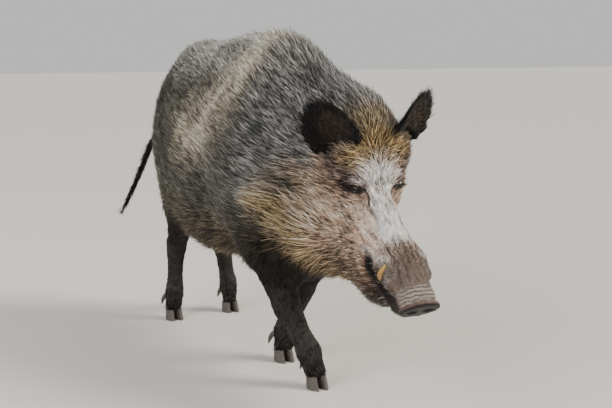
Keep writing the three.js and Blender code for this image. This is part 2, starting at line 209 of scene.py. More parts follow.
class Net:
    """The edges of a mesh, for spreading values over its surface."""

    def __init__(self, mesh):
        self.count = len(mesh.vertices)
        edges = np.empty(len(mesh.edges) * 2, dtype=np.int64)
        mesh.edges.foreach_get("vertices", edges)
        self.a, self.b = edges.reshape(-1, 2).T
        self.degree = np.bincount(np.concatenate([self.a, self.b]), minlength=self.count)

    def spread(self, values, times, share=0.5):
        """Each vertex takes a share of its neighbours' mean, times over."""
        flat = values.reshape(self.count, -1).astype(float)
        share = np.broadcast_to(np.asarray(share, dtype=float).reshape(-1, 1), (self.count, 1))
        for _ in range(times):
            mean = np.empty_like(flat)
            for c in range(flat.shape[1]):
                total = np.bincount(self.a, flat[self.b, c], self.count)
                total += np.bincount(self.b, flat[self.a, c], self.count)
                mean[:, c] = total / np.maximum(self.degree, 1)
            flat += (mean - flat) * share
        return flat.reshape(values.shape)

    def smooth(self, points, times, share=0.5):
        """Rounds the surface off without making slender parts thinner."""
        for _ in range(times):
            points = self.spread(points, 1, share)
            points = self.spread(points, 1, -1.04 * np.asarray(share))
        return points


def normals_of(points, faces):
    """The outward direction at each vertex, where larger triangles count for more."""
    a, b, c = (points[faces[:, i]] for i in range(3))
    cross = np.cross(b - a, c - a)
    normals = np.zeros_like(points)
    for i in range(3):
        for axis in range(3):
            normals[:, axis] += np.bincount(faces[:, i], cross[:, axis], len(points))
    return unit(normals)


# ---------------------------------------------------------------- the head's own frame
# In millimetres, with X to the snout, Y to the boar's left and Z to the forehead.
EYE = np.array([155.0, 54.0, 33.0])
DISC = np.array([469.0, 0.0, 4.0])
DISC_TILT = math.radians(14)
DISC_AHEAD = np.array([math.cos(DISC_TILT), 0, -math.sin(DISC_TILT)])
DISC_UP = np.array([math.sin(DISC_TILT), 0, math.cos(DISC_TILT)])
NOSTRIL = np.array([19.0, 2.0])  # from the middle of the disc, sideways and up it
EYE_OUT = unit(np.array([0.46, 0.88, 0.26]))  # where the left eye looks
EYE_SLIT = np.array([33.0, -28.0, 32.0])  # from the rear corner of its lids to the front one
EYE_BALL = {"radius": 11.8, "sunk": 5.0}
OPENING = {"middle": -1.5, "half": 10.8, "upper": 3.6, "lower": 3.0}
LID_EDGE = {"half": 24, "upper": 15, "lower": 16}  # where the lids run out into the skin
LIDS_LONGER = 1.35  # how much longer than high the ring of skin round an eye is
EYE_REACH = 25  # skin further in or out than this from the ball's middle is not at the eye
FINE_FROM = 95  # the face has small faces ahead of this

# Places on the left half of the head, each the middle and the radii of an ellipsoid.
POLL = (48, 0, 100), (62, 92, 62)
CROWN = (108, 0, 100), (34, 92, 60)
CROWN_HAIR = (84, 0, 105), (56, 88, 60)
CROWN_LIE = (104, 0, 105), (50, 90, 50)
CROWN_LOOSE = (100, 0, 105), (60, 90, 60)
BROW = (104, 78, 46), (44, 34, 32)
BEHIND_EYE = (92, 100, -10), (40, 40, 20)
# Painted sunlight: the cheek is brightened here, as the sun would light it.
SUNLIT_JOWL = (135, 114, -88), (76, 60, 56)
MOUTH_SHADE = (322, 46, -56), (44, 34, 28)
MOUTH_CORNER = (322, 48, -52), (26, 22, 13)
TUSK_SHADE = (366, 52, -14), (18, 30, 27)
TUSK_HOLLOW = (366, 54, -8), (11, 26, 22)
TUSK_BARE = (372, 54, -12), (17, 22, 26)
LIP_FOLD = (392, 50, 6), (8, 26, 25)
UPPER_LIP = (392, 48, 22), (52, 26, 28)
CHEEK_HOLLOW = (238, 50, 2), (36, 30, 20)

# Stripes on it, each from one place to another with a radius.
EYE_STRIPE = (132, 74, 10), (76, 110, -32), 15
# The bridge stripe is pale hair lightened further by painted sunlight.
SUNLIT_BRIDGE = (172, 0, 66), (290, 8, 50), 40
CHEEKBONE = (170, 78, -10), (250, 46, 0), 24
MUZZLE_STREAK = (272, 58, -42), (352, 40, 22), 15

# Places round an eye, along its slit and up across it, each a middle and radii.
REAR_CORNER = (-18, 2), (20, 11)
LID_SHADE = (0, 1), (20, 10)
POUCH_SHADE = (-2, -19), (19, 8)
# Painted highlight on the brow ridge, above the eye.
BROW_HIGHLIGHT = (4, 24), (13, 5)
BROW_RIDGE = (-1, 18), (22, 6.5)
LID_CREASE = (-1, 10.5), (17, 3)
POUCH = (-3, -19), (21, 9)
POUCH_CREASE = (-2, -33), (24, 5)


def eye_axes():
    """For the left eye: along its slit, up across it, and out of the head."""
    along = unit(EYE_SLIT - EYE_OUT * (EYE_SLIT @ EYE_OUT))
    return np.stack([along, np.cross(along, EYE_OUT), EYE_OUT])


EYE_AXES = eye_axes()


def head_frame():
    """The rotation whose columns are the head's axes, and the head's origin in metres."""
    left, right, disc = centre_of("eye_left"), centre_of("eye_right"), centre_of("snout")
    across = unit(left - right)
    forward = disc - (left + right) / 2
    forward = unit(forward - across * (forward @ across))
    up = np.cross(forward, across)
    tilt = math.atan2(EYE[2] - DISC[2], DISC[0] - EYE[0])
    ahead = forward * math.cos(tilt) + up * math.sin(tilt)
    axes = np.stack([ahead, across, np.cross(ahead, across)], axis=1)
    origin = (left + right) / 2 - axes @ (np.array([EYE[0], 0, EYE[2]]) * MM)
    return axes, origin


HEAD_AXES, HEAD_ORIGIN = head_frame()


def to_head(points):
    """Points in metres, as seen in the head's own frame in millimetres."""
    return (points - HEAD_ORIGIN) @ HEAD_AXES / MM


def from_head(points):
    """Points of the head's own frame, back in metres."""
    return points * MM @ HEAD_AXES.T + HEAD_ORIGIN


def head_vector(vectors):
    """Directions of the head's own frame, turned into the model's."""
    return vectors @ HEAD_AXES.T


def left_half(head):
    """Points of the head with those of its right side mirrored to the left."""
    return np.stack([head[:, 0], np.abs(head[:, 1]), head[:, 2]], 1)


def from_eye(head):
    """Points of the head as seen from the nearer eye: along its slit, up across it, and outwards."""
    return (left_half(head) - EYE) @ EYE_AXES.T


def from_disc(head):
    """Points as seen from the disc of the snout: ahead of it, sideways, and up it."""
    away = head - DISC
    return np.stack([away @ DISC_AHEAD, np.abs(away[:, 1]), away @ DISC_UP], 1)


def near_eye(head):
    """How far each point is from the middle of the nearer eye's opening, in millimetres."""
    along, up, out = from_eye(head).T
    beyond = np.maximum(np.abs(out + EYE_BALL["sunk"]) - EYE_REACH, 0)
    return np.hypot(along - OPENING["middle"], up * LIDS_LONGER) + beyond


# ---------------------------------------------------------------- colours and painted light, shared by hide and hair
COLOURS = {
    "flank": linear("5a574d"),
    # Pale colour of a painted stripe of sunlight down the side behind the withers.
    "sunlit_band": linear("dccdb1"),
    # Also used as painted shade behind the shoulder blade and on the neck below the ear.
    "side": linear("625f58"),
    # Painted sheen: this pale colour lightens every upward-facing surface, as light from above would.
    "back": linear("d2cfc6"),
    "neck": linear("7b7a78"),
    "belly": linear("5c4f3a"),
    # Painted shade low on the shoulder, by the foreleg.
    "shoulder_shade": linear("2a231c"),
    "leg": linear("2a2521"),
    "foot": linear("353332"),
    "ear": linear("120f0e"),
    "ear_hollow": linear("33271f"),
    "crown": linear("9c7f54"),
    "brow": linear("62534d"),
    # Pale hair of the bridge, lightened further by painted sunlight.
    "bridge": linear("f6ebe4"),
    "cheek": linear("d6b094"),
    "ruff": linear("cfb294"),
    "socket": linear("7f6c6a"),
    "poll": linear("7a6c55"),
    "jaw": linear("7d6a5a"),
    "throat": linear("a08863"),
    "tear": linear("1a1414"),
    "muzzle_top": linear("68594f"),
    "muzzle_side": linear("4f413c"),
    # Near black, for painted shade in the mouth crease, under the lips, round the tusk and in the troughs of
    # the snout folds.
    "mouth": linear("0d0a0a"),
    "pale": linear("d9cec8"),
    "lip_fold": linear("7d7572"),
    "wrinkle": linear("b3a8a3"),
    "rim": linear("5d483f"),
    # The disc's own dark skin, deepened with painted shade on its face.
    "disc": linear("110d0c"),
    # Painted shade deep in the nostrils.
    "nostril_shade": linear("040303"),
    "tail": linear("221d1b"),
}


def mix(base, colour, amount):
    """The base colours drawn towards a named one, by 0 to 1 at each point."""
    return base + (COLOURS[colour] - base) * np.clip(amount, 0, 1)[:, None]


def snout_folds(head):
    """Ridges from -1 to 1 of the wrinkles behind the disc, and how strongly they show at each point."""
    ahead, across, up = from_disc(head).T
    bend = 2.6 * ripple(head, 44, 31) + 1.5 * ripple(head, 17, 36) + 5 * (across / 40) ** 2
    folds = np.cos(2 * math.pi * (ahead + 13 + bend) / 9.0)
    strength = step(-46, -36, ahead) * step(-14, 12, up) * (0.75 + 0.25 * ripple(head, 20, 32))
    return folds, strength


def muzzle_furrows(half):
    """Lengthwise furrows from -1 to 1 along the top of the muzzle, and how strongly they show."""
    x, side, z = half.T
    furrows = np.cos(2 * math.pi * side / 15 + 0.6 * np.sin(x / 19) + 0.5 * ripple(half, 40, 35))
    return furrows, step(15, 34, z) * step(285, 330, x) * step(428, 412, x)


def tear_line(along, above):
    """1 along the dark line that runs down from the front corner of an eye."""
    return hump(along, 21 - 0.08 * above, 5.0) * step(8, 2, above) * step(-46, -34, above)


def face_markings_and_painted_light(head):
    """The colours of the head, with painted light: golden crown, whitish bridge lightened by painted
    sunlight, tan cheeks with a painted sunlit patch, dark muzzle with a pale streak, painted shade in the
    mouth, disc, nostrils and folds, and a painted highlight on the brow.
    """
    half = left_half(head)
    x, side, z = half.T
    ahead, _, up = from_disc(head).T
    at_eye = from_eye(head)[:, :2]
    along, above = at_eye.T
    eye_side = step(20, 40, side)
    streaks = ripple(drawn_out(head, (1, 0.1, 0.35), 0.9), 15, 21)
    streaks += 0.6 * ripple(drawn_out(head, (1, 0.1, 0.3), 0.9), 7, 22)
    folds, wrinkled = snout_folds(head)
    hole = np.hypot((side - NOSTRIL[0]) / 10.5, (up - NOSTRIL[1]) / 8)

    face = np.tile(COLOURS["cheek"], (len(head), 1))
    for colour, amount in (
        ("ruff", step(120, 10, x + 0.5 * np.minimum(z, 0) + 40 * (streaks > 0))),
        ("brow", step(10, 40, z) * step(185, 140, x) * step(35, 60, side) * 0.85),
        ("brow", 0.8 * step(0.1, 0.9, streaks) * step(300, 240, x) * step(45, 65, side)),
        ("poll", spot(half, *POLL) * 1.6),
        ("crown", spot(half, *CROWN) * 1.5),
        ("brow", 1.2 * spot(half, *BROW)),
        ("tear", streak(half, *EYE_STRIPE) * 0.8),
        # the bridge's pale hair, lightened by painted sunlight; the cheekbone takes a little of it
        ("bridge", streak(half, *SUNLIT_BRIDGE) * 1.6),
        ("bridge", streak(half, *CHEEKBONE) * 0.35),
        ("socket", 0.85 * step(56, 26, near_eye(head) + 9 * streaks) * step(24, 44, side)),
        ("jaw", step(-75, -115, z) * step(160, 225, x) * 0.85),
        ("throat", step(-125, -165, z)),
        ("muzzle_top", step(285, 375, x + 12 * streaks) * step(-10, 25, z)),
        ("muzzle_side", step(318, 358, x + 10 * streaks) * step(32, 0, z)),
        ("pale", streak(half, *MUZZLE_STREAK) * 0.95),
        ("mouth", spot(half, *MOUTH_SHADE) * 2.0),
        ("mouth", spot(half, *TUSK_SHADE) * 1.15),
        # painted shade in the crease between the lips and under the lower lip
        ("mouth", step(-34, -52, z) * step(-84, -66, z) * step(300, 345, x) * 0.8),
        ("mouth", step(-60, -76, z) * step(270, 340, x) * 0.5),
        ("lip_fold", hump(x, 391, 7.5) * hump(z, 8, 26) * step(22, 36, side)),
        ("tear", 1.3 * tear_line(along, above)),
        ("tear", 1.4 * spot(at_eye, *REAR_CORNER) * step(30, 60, side)),
        ("tear", 1.6 * spot(at_eye, *LID_SHADE) * eye_side),
        ("cheek", 0.8 * spot(at_eye, *POUCH_SHADE) * eye_side),
        # painted highlight on the brow ridge
        ("pale", 0.8 * spot(at_eye, *BROW_HIGHLIGHT) * eye_side),
        ("wrinkle", wrinkled * (0.5 + 0.5 * folds) * 0.9),
        # painted shade in the troughs of the snout folds
        ("mouth", wrinkled * step(-0.5, -0.95, folds) * 0.55),
        ("rim", step(-7, -4, ahead)),
        # the disc's own dark skin, deepened with painted shade
        ("disc", step(0, 3, ahead)),
        # painted shade inside the nostrils
        ("nostril_shade", step(1.15, 0.8, hole) * step(0, 4, ahead)),
    ):
        face = mix(face, colour, amount)
    furrows, furrowed = muzzle_furrows(half)
    sunlit_jowl = spot(half, *SUNLIT_JOWL)
    shade = 1 + (0.32 + 0.25 * step(45, 65, side)) * streaks * step(420, 300, x)
    # painted shade in the furrows along the top of the muzzle
    shade -= 0.4 * step(0.2, 0.9, furrows) * furrowed
    # painted sunlight brightens the cheek, with painted shade of the gaps between locks in its dark streaks
    shade *= (1 + 0.75 * sunlit_jowl) * (1 - 0.8 * np.clip(1.3 * sunlit_jowl, 0, 1) * step(0.15, 0.8, streaks))
    return face * shade[:, None]


# Places on the left half of the body in millimetres, each a middle and radii.
RUFF = (268, 98, 436), (38, 70, 58)
NECK_SHADE = (262, 112, 522), (48, 80, 42)
SUNLIT_BAND_SLOPE = 0.674, 0.738  # across the stripe of painted sunlight that runs down behind the withers
SUNLIT_BAND_TOP = 721  # height at which it crosses the middle of the model


def markings_and_painted_light(points, normals, part):
    """The colour of hide and hair at each point, with painted sunlight, sheen and shade; part gives the share
    of each body part there.
    """
    x, y, z = (points / MM).T
    head = to_head(points)
    facing = normals @ HEAD_AXES
    locks = ripple(drawn_out(points, (-0.8, 0, -0.6), 0.8), 0.055, 23)

    colour = np.tile(COLOURS["flank"], (len(points), 1))
    colour = mix(colour, "side", hump(x, -60, 190) * step(0.2, 0.7, np.abs(normals[:, 1])) * 0.8)
    # painted sheen of light from above on all upward-facing hide and hair
    colour = mix(colour, "back", step(0.35, 0.9, normals[:, 2]) * 0.8)
    diagonal = SUNLIT_BAND_SLOPE[0] * x - SUNLIT_BAND_SLOPE[1] * (z - SUNLIT_BAND_TOP)
    # painted shade behind the shoulder blade: the side tone, without the pale top, from the sunlit stripe
    # forward
    colour = mix(colour, "side", step(40, 110, diagonal) * step(0.15, 0.6, np.abs(normals[:, 1])))
    # painted sunlight: a pale stripe down the side behind the withers, where the sun falls on the hair
    colour = mix(colour, "sunlit_band", 0.95 * hump(diagonal + 12 * locks, 4, 84) * step(480, 640, z))
    colour = mix(colour, "neck", np.clip(part["neck"] + step(60, 220, x), 0, 1) * step(300, 420, z) * 0.85)
    colour = mix(colour, "belly", step(470, 330, z) * 0.9)
    # painted shade low on the shoulder, down by the foreleg
    colour = mix(colour, "shoulder_shade", step(470, 370, z + 0.25 * np.abs(x - 200)) * step(-60, 80, x) * 0.9)
    beside = np.stack([x, np.abs(y), z], 1)
    colour = mix(colour, "ruff", 1.2 * spot(beside, *RUFF))
    colour *= (1 + 0.35 * locks * step(0.9, 0.4, normals[:, 2]))[:, None]

    face = face_markings_and_painted_light(head)
    face = mix(face, "neck", step(72, 5, head[:, 0] + 0.6 * head[:, 2]) * step(-64, -14, head[:, 2]) * 0.9)
    colour += (face - colour) * np.clip(part["head"] + part["snout"], 0, 1)[:, None]
    colour = mix(colour, "side", 1.3 * spot(beside, *NECK_SHADE))

    hollow = step(0.1, 0.6, facing[:, 0] + 0.4 * np.sign(head[:, 1]) * facing[:, 1])
    for name in EARS:
        colour = mix(colour, "ear", step(0.25, 0.6, part[name] + 0.16 * ripple(points, 0.012, 9)))
        inner = hollow * step(0.052, 0.03, np.linalg.norm(points - centre_of(name), axis=1))
        colour = mix(colour, "ear_hollow", step(0.6, 0.9, part[name]) * inner * 0.9)
    for name in LEGS:
        dark = step(0.15, 0.7, part[name]) * step(470, 330, z)
        colour = mix(colour, "leg", dark)
        colour = mix(colour, "foot", dark * step(200, 80, z) * 0.8)
    colour = mix(colour, "tail", step(0.2, 0.7, part["tail"]))
    patches = 1 + 0.10 * ripple(points, 0.11, 1) + 0.08 * ripple(points, 0.045, 2)
    return np.clip(colour * patches[:, None], 0.002, 1)


# ---------------------------------------------------------------- the lie and length of the coat
def lie_of_coat(points, normals, part):
    """Which way the hair lies at each point, along the skin."""
    x, _, z = (points / MM).T
    head = to_head(points)
    left = np.clip(head[:, 1] / 60, -1, 1)
    flank = np.abs(normals[:, 1])
    rump = step(-520, -660, x)

    half = left_half(head)
    along, side, up = half.T
    flat = np.zeros(len(x))
    rise = 0.55 * step(330, 480, z) * flank
    body = np.stack([-1 + 0.9 * rump, flat, rise * (1 - rump) - 1.4 * rump], 1)
    neck = np.stack([-1 + flat, flat, 0.15 + 0.45 * flank * step(280, 480, z) - 0.4 * step(420, 300, z)], 1)
    face = np.zeros((len(x), 3))
    for share, lie in (
        (np.ones(len(x)), (-1, 0.12, -0.05)),
        (2 * step(30, 48, side) * hump(along, 262, 62) * step(70, 30, up), (-1, 0.1, -1.15)),
        (2 * step(40, 70, side) * step(200, 150, along), (-1, 0.25, -0.45)),
        (2.5 * spot(half, *BEHIND_EYE), (-1, 0.3, -1.0)),
        (3 * step(-60, -100, up) * step(120, 200, along), (-0.25, 0.5, -1)),
        (4 * spot(half, *CROWN_LIE), (-0.1, 1, 0)),
    ):
        face += unit(np.array(lie, float)) * share[:, None] * np.stack([flat + 1, left, flat + 1], 1)
    lie = body * part["trunk"][:, None] + neck * part["neck"][:, None]
    lie += head_vector(unit(face)) * (part["head"] + part["snout"])[:, None]
    for name in LEGS:
        hoof = centre_of(name.replace("leg", "hoof") + "_inner")
        top = centre_of(name) + (0, 0, 0.1)
        lie += unit(hoof - top + (-0.03, 0, 0)) * part[name][:, None]
    for name in (*EARS, "tail"):
        lie += long_axis(name) * part[name][:, None]
    sway = 0.14 * ripple(points, 0.13, 3) + 0.06 * ripple(points, 0.035, 4)
    lie = unit(lie) + np.cross(normals, unit(lie)) * sway[:, None]
    return unit(lie - normals * (lie * normals).sum(1, keepdims=True))


def axes_of(node):
    """A slender node's middle, its directions to the tip, across and through it, and its reach to the tip."""
    points = points_of(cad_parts[node].data)
    middle = points.mean(0)
    axes = np.linalg.svd(points - middle, full_matrices=False)[2]
    body = centre_of("trunk") if node == "tail" else centre_of("head")
    if (middle - body) @ axes[0] < 0:
        axes[0] *= -1
    return middle, axes, ((points - middle) @ axes[0]).max()


SLENDER = {name: axes_of(name) for name in (*EARS, "tail")}


def long_axis(node):
    """The direction of an ear or the tail, from its root on the body to its tip."""
    return SLENDER[node][1][0]


def to_tip(points, node):
    """How far each point is from the tip of an ear or the tail, in millimetres."""
    middle, axes, reach = SLENDER[node]
    return np.maximum(reach - (points - middle) @ axes[0], 0) / MM


def coat_plan(points, normals, part, props):
    """At each point: length, width and depth of the coat in metres, lift in radians, and relative density."""
    x, y, z = (points / MM).T
    head = to_head(points)
    half = left_half(head)
    ahead, _, up = from_disc(head).T
    face = on_face(part)
    leg = np.clip(sum(part[name] for name in LEGS), 0, 1)
    ear = np.clip(part["ear_left"] + part["ear_right"], 0, 1)
    tail = part["tail"]
    trunk = np.clip(1 - face - leg - ear - tail, 0, 1)
    crest = step(0.55, 0.9, normals[:, 2]) * hump(y, 0, 70) * step(-300, 0, x) * trunk
    rim = np.zeros(len(points))
    for name in EARS:
        through = SLENDER[name][1][2]
        rim += step(0.75, 0.25, np.abs(normals @ through)) * part[name]

    to_snout = step(110, 250, head[:, 0])
    crown = spot(half, *CROWN_HAIR)
    jaw = step(-50, -95, head[:, 2]) * step(450, 400, head[:, 0])
    cheek = step(240, 100, head[:, 0]) * step(40, 80, half[:, 1]) * step(40, -20, head[:, 2])
    face_hair = 26 - 13 * to_snout - 6 * step(330, 420, head[:, 0])
    fringe = step(-95, -150, head[:, 2]) * step(330, 230, head[:, 0])
    face_hair = face_hair + 16 * crown + 14 * jaw + 18 * cheek + 26 * fringe
    face_hair = np.minimum(face_hair, 5 + 0.8 * np.maximum(near_eye(head) - 12, 0))
    along, above, out = from_eye(head).T
    before_tear = step(12, 20, along) * step(46, 34, along)
    tear = before_tear * step(8, 2, above) * step(-50, -38, above) * step(-32, -18, out)
    face_hair = face_hair * (1 - 0.68 * tear)
    leg_hair = 13 + 27 * step(200, 400, z) + 9 * step(110, 60, z)
    tail_hair = np.minimum(32, 9 + 0.8 * to_tip(points, "tail"))
    length = trunk * props.body_hair / MM + face * face_hair + leg * leg_hair
    length += ear * (17 + 20 * rim)
    length += tail * tail_hair
    length += crest * (props.mane - props.body_hair) / MM + trunk * 14 * step(400, 300, z)

    width = trunk * 1.5 + face * (1.45 - 0.4 * to_snout) + leg * 1.5 + ear * 1.4 + tail * 1.6
    face_lift = 0.32 - 0.10 * to_snout + 0.42 * crown + 0.2 * cheek + 0.5 * fringe
    lift = trunk * 0.36 + face * face_lift + leg * 0.16
    lift += ear * (0.34 + 0.6 * rim) + tail * 0.16 + crest * 0.22 + trunk * 0.2 * step(380, 300, z)
    density = trunk * 1.0 + face * (1.7 + 1.7 * to_snout + 0.5 * crown) + leg * 1.35 + ear * 2.2 + tail * 2.2
    wrinkled = step(-47, -36, ahead) * (0.5 + 0.5 * step(-20, 6, up))
    density *= 1 - wrinkled * step(0.3, 0.6, face)
    density *= 1 - step(17, 12, near_eye(head)) * step(0.3, 0.6, face)
    density *= 1 + 0.5 * tear * face
    density *= 1 - 0.95 * np.clip(1.6 * spot(half, *TUSK_BARE), 0, 1) * face

    leg_depth = 1.5 + 10 * step(240, 420, z)
    depth = trunk * 15 + face * (12 - 9.5 * to_snout) + leg * leg_depth + ear * 0.8 + tail * 4
    depth -= 6 * step(0.55, 0.9, normals[:, 2]) * trunk
    depth += face * (jaw * 7 + crown * 6 + cheek * 4)
    depth *= 1 - 0.8 * step(34, 20, near_eye(head)) * face
    depth *= 1 - step(-50, -20, ahead) * face
    return length * MM, width * MM, depth * MM, lift, density


# ---------------------------------------------------------------- materials
def add(tree, kind, name=None, **settings):
    """Adds a node; a setting is a socket's value, a link from another socket, or a field of the node."""
    made = tree.nodes.new(kind)
    if name:
        made.label = name
    for key, value in settings.items():
        if key.startswith("in"):
            socket = made.inputs[int(key[2:])]
        else:
            socket = made.inputs.get(key.replace("_", " "))
        if socket is None:
            setattr(made, key, value)
        elif isinstance(value, bpy.types.NodeSocket):
            tree.links.new(value, socket)
        else:
            socket.default_value = value
    return made


def new_material(name, slot_colour):
    """A material, its node tree and its surface node."""
    material = bpy.data.materials.new(name)
    material.use_nodes = True
    material.diffuse_color = (*slot_colour, 1)
    tree = material.node_tree
    return material, tree, tree.nodes["Principled BSDF"]


def tone(tree, colour, amount):
    """The colour made darker or lighter by a number around 1."""
    return add(tree, "ShaderNodeVectorMath", operation="SCALE", in0=colour, Scale=amount).outputs["Vector"]


def spread_of(tree, value, low, high):
    """A 0 to 1 value laid over low to high."""
    return add(tree, "ShaderNodeMapRange", Value=value, To_Min=low, To_Max=high).outputs["Result"]


def blended(tree, share, low, high):
    """A colour between two that are picked as sRGB hex, by a 0 to 1 value."""
    ends = {"Color1": (*linear(low), 1), "Color2": (*linear(high), 1)}
    return add(tree, "ShaderNodeMixRGB", Fac=share, **ends).outputs["Color"]


def noise(tree, scale, detail=3.0, where=None):
    """Noise on object coordinates; scale is lumps per metre."""
    where = where or add(tree, "ShaderNodeTexCoord").outputs["Object"]
    return add(tree, "ShaderNodeTexNoise", Vector=where, Scale=scale, Detail=detail).outputs["Fac"]


def hide_material():
    """Boar hide under its hair: dark skin with dense short underfur, with painted shade under the long hair
    carried in its colour, and bare wrinkled skin on the snout.
    """
    material, tree, surface = new_material("boar_hide", COLOURS["flank"])
    colour = add(tree, "ShaderNodeAttribute", attribute_name="markings_and_painted_light").outputs["Color"]
    bare = add(tree, "ShaderNodeAttribute", attribute_name="bare").outputs["Fac"]
    coarse = noise(tree, 1 / (9 * MM), 4)
    fine = noise(tree, 1 / (1.6 * MM), 4)
    colour = tone(tree, colour, spread_of(tree, fine, 0.55, 1.3))
    colour = tone(tree, colour, spread_of(tree, coarse, 0.75, 1.2))
    tree.links.new(colour, surface.inputs["Base Color"])
    tree.links.new(spread_of(tree, bare, 0.8, 0.46), surface.inputs["Roughness"])
    pores = add(tree, "ShaderNodeTexVoronoi", Scale=1 / (2.6 * MM), feature="DISTANCE_TO_EDGE")
    tree.links.new(add(tree, "ShaderNodeTexCoord").outputs["Object"], pores.inputs["Vector"])
    creases = add(tree, "ShaderNodeMath", operation="MULTIPLY", in0=pores.outputs["Distance"], in1=bare)
    relief = add(tree, "ShaderNodeMath", operation="ADD", in0=fine, in1=creases.outputs["Value"])
    bump = add(tree, "ShaderNodeBump", Height=relief.outputs["Value"], Strength=0.7, Distance=1.4 * MM)
    tree.links.new(bump.outputs["Normal"], surface.inputs["Normal"])
    surface.inputs["Specular IOR Level"].default_value = 0.35
    return material


def hair_material():
    """Boar bristles: matte keratin with a faint shine, dark at the root and pale at the split tip."""
    material, tree, surface = new_material("boar_bristles", COLOURS["flank"])
    colour = add(tree, "ShaderNodeAttribute", attribute_name="markings_and_painted_light").outputs["Color"]
    colour = tone(tree, colour, spread_of(tree, noise(tree, 1 / (5 * MM), 2), 0.82, 1.18))
    tree.links.new(colour, surface.inputs["Base Color"])
    surface.inputs["Roughness"].default_value = 0.5
    surface.inputs["Specular IOR Level"].default_value = 0.28
    return material


def horn_material():
    """Hoof horn: dull grey-brown keratin with growth rings and scuffs."""
    material, tree, surface = new_material("hoof_horn", linear("6b6761"))
    where = add(tree, "ShaderNodeTexCoord").outputs["Object"]
    scale = 1 / (14 * MM)
    rings = add(tree, "ShaderNodeTexWave", Vector=where, Scale=scale, Distortion=2.5, bands_direction="Z")
    scuffs = noise(tree, 1 / (6 * MM), 5, where)
    base = blended(tree, scuffs, "2a2522", "6c655c")
    colour = tone(tree, base, spread_of(tree, rings.outputs["Fac"], 0.8, 1.15))
    tree.links.new(colour, surface.inputs["Base Color"])
    tree.links.new(spread_of(tree, scuffs, 0.45, 0.75), surface.inputs["Roughness"])
    height = add(tree, "ShaderNodeMath", operation="ADD", in0=rings.outputs["Fac"], in1=scuffs)
    bump = add(tree, "ShaderNodeBump", Height=height.outputs["Value"], Strength=0.5, Distance=0.8 * MM)
    tree.links.new(bump.outputs["Normal"], surface.inputs["Normal"])
    return material


def tusk_material():
    """Tusk ivory: stained yellow-brown towards the gum, with long fine cracks."""
    material, tree, surface = new_material("tusk_ivory", linear("b98f45"))
    stain = add(tree, "ShaderNodeAttribute", attribute_name="along").outputs["Fac"]
    cracks = noise(tree, 1 / (3 * MM), 4)
    base = blended(tree, stain, "6b430f", "c79c50")
    cracked = tone(tree, base, spread_of(tree, cracks, 0.75, 1.15))
    tree.links.new(cracked, surface.inputs["Base Color"])
    surface.inputs["Roughness"].default_value = 0.32
    bump = add(tree, "ShaderNodeBump", Height=cracks, Strength=0.25, Distance=0.5 * MM)
    tree.links.new(bump.outputs["Normal"], surface.inputs["Normal"])
    return material


def eye_material():
    """A wet eye: dark brown iris round a black pupil, under a clear coat."""
    material, tree, surface = new_material("boar_eye", linear("2a1a10"))
    colour = add(tree, "ShaderNodeAttribute", attribute_name="iris").outputs["Color"]
    fibres = noise(tree, 1 / (0.9 * MM), 3)
    tree.links.new(tone(tree, colour, spread_of(tree, fibres, 0.7, 1.3)), surface.inputs["Base Color"])
    surface.inputs["Roughness"].default_value = 0.25
    surface.inputs["Coat Weight"].default_value = 1.0
    surface.inputs["Coat Roughness"].default_value = 0.02
    return material


def material_named(name, maker):
    """The material of that name, made when it is first asked for."""
    return bpy.data.materials.get(name) or maker()


# ---------------------------------------------------------------- hide
def joined_flesh():
    """One mesh of all flesh nodes, and which node each of its triangles comes from."""
    points, faces, source, start = [], [], [], 0
    for number, name in enumerate(FLESH):
        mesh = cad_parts[name].data
        points.append(points_of(mesh))
        faces.append(faces_of(mesh) + start)
        source += [number] * len(faces[-1])
        start += len(points[-1])
    return np.concatenate(points), np.concatenate(faces), np.array(source)


def finished_mesh(obj):
    """The object's mesh with its modifiers in it; the object itself goes."""
    mesh = bpy.data.meshes.new_from_object(obj.evaluated_get(bpy.context.evaluated_depsgraph_get()))
    bpy.data.objects.remove(obj)
    return mesh


def remeshed(points, faces, cell):
    """The outer surface of touching bodies as one even mesh."""
    rough = make_object("rough_hide", points, faces)
    modifier = rough.modifiers.new("even", "REMESH")
    modifier.mode = "VOXEL"
    modifier.voxel_size = cell
    return finished_mesh(rough)


def shares_of_parts(mesh, net, tree, source):
    """For each body part, its share at each vertex, blended over the joins."""
    nearest = np.array([source[tree.find_nearest(v.co)[2]] for v in mesh.vertices])
    shares = np.zeros((len(nearest), len(FLESH)))
    shares[np.arange(len(nearest)), nearest] = 1
    wide = net.spread(shares, 50, 0.8)
    narrow = net.spread(shares, 5, 0.6)
    slender = narrow[:, [FLESH.index(name) for name in (*EARS, "tail")]].sum(1) > 0.25
    wide[slender] = narrow[slender]
    return dict(zip(FLESH, (wide / wide.sum(1, keepdims=True)).T))


def on_face(shares):
    """The share of head and snout together at each point."""
    return np.clip(shares["head"] + shares["snout"], 0, 1)


def thinned(points, faces, shares, ratio):
    """The hide with larger faces where long hair hides them, on the trunk and neck."""
    rough = make_object("even_hide", points, faces)
    for name, share in shares.items():
        keep(rough.data, "part_" + name, share)
    hidden = rough.vertex_groups.new(name="under_long_hair")
    bulk = shares["trunk"] + shares["neck"]
    hidden.add(np.flatnonzero(bulk > 0.8).tolist(), 1.0, "REPLACE")
    modifier = rough.modifiers.new("larger_faces", "DECIMATE")
    modifier.ratio = ratio
    modifier.vertex_group = hidden.name
    return finished_mesh(rough)


def refined(mesh):
    """The hide with faces a quarter the size on the face, for folds and lids."""
    share = kept(mesh, "part_head") + kept(mesh, "part_snout")
    fine = (share > 0.6) & (to_head(points_of(mesh))[:, 0] > FINE_FROM)
    work = bmesh.new()
    work.from_mesh(mesh)
    edges = [edge for edge in work.edges if fine[edge.verts[0].index] and fine[edge.verts[1].index]]
    bmesh.ops.subdivide_edges(work, edges=edges, cuts=1, use_grid_fill=True)
    bmesh.ops.triangulate(work, faces=work.faces)
    work.to_mesh(mesh)
    work.free()
    return mesh


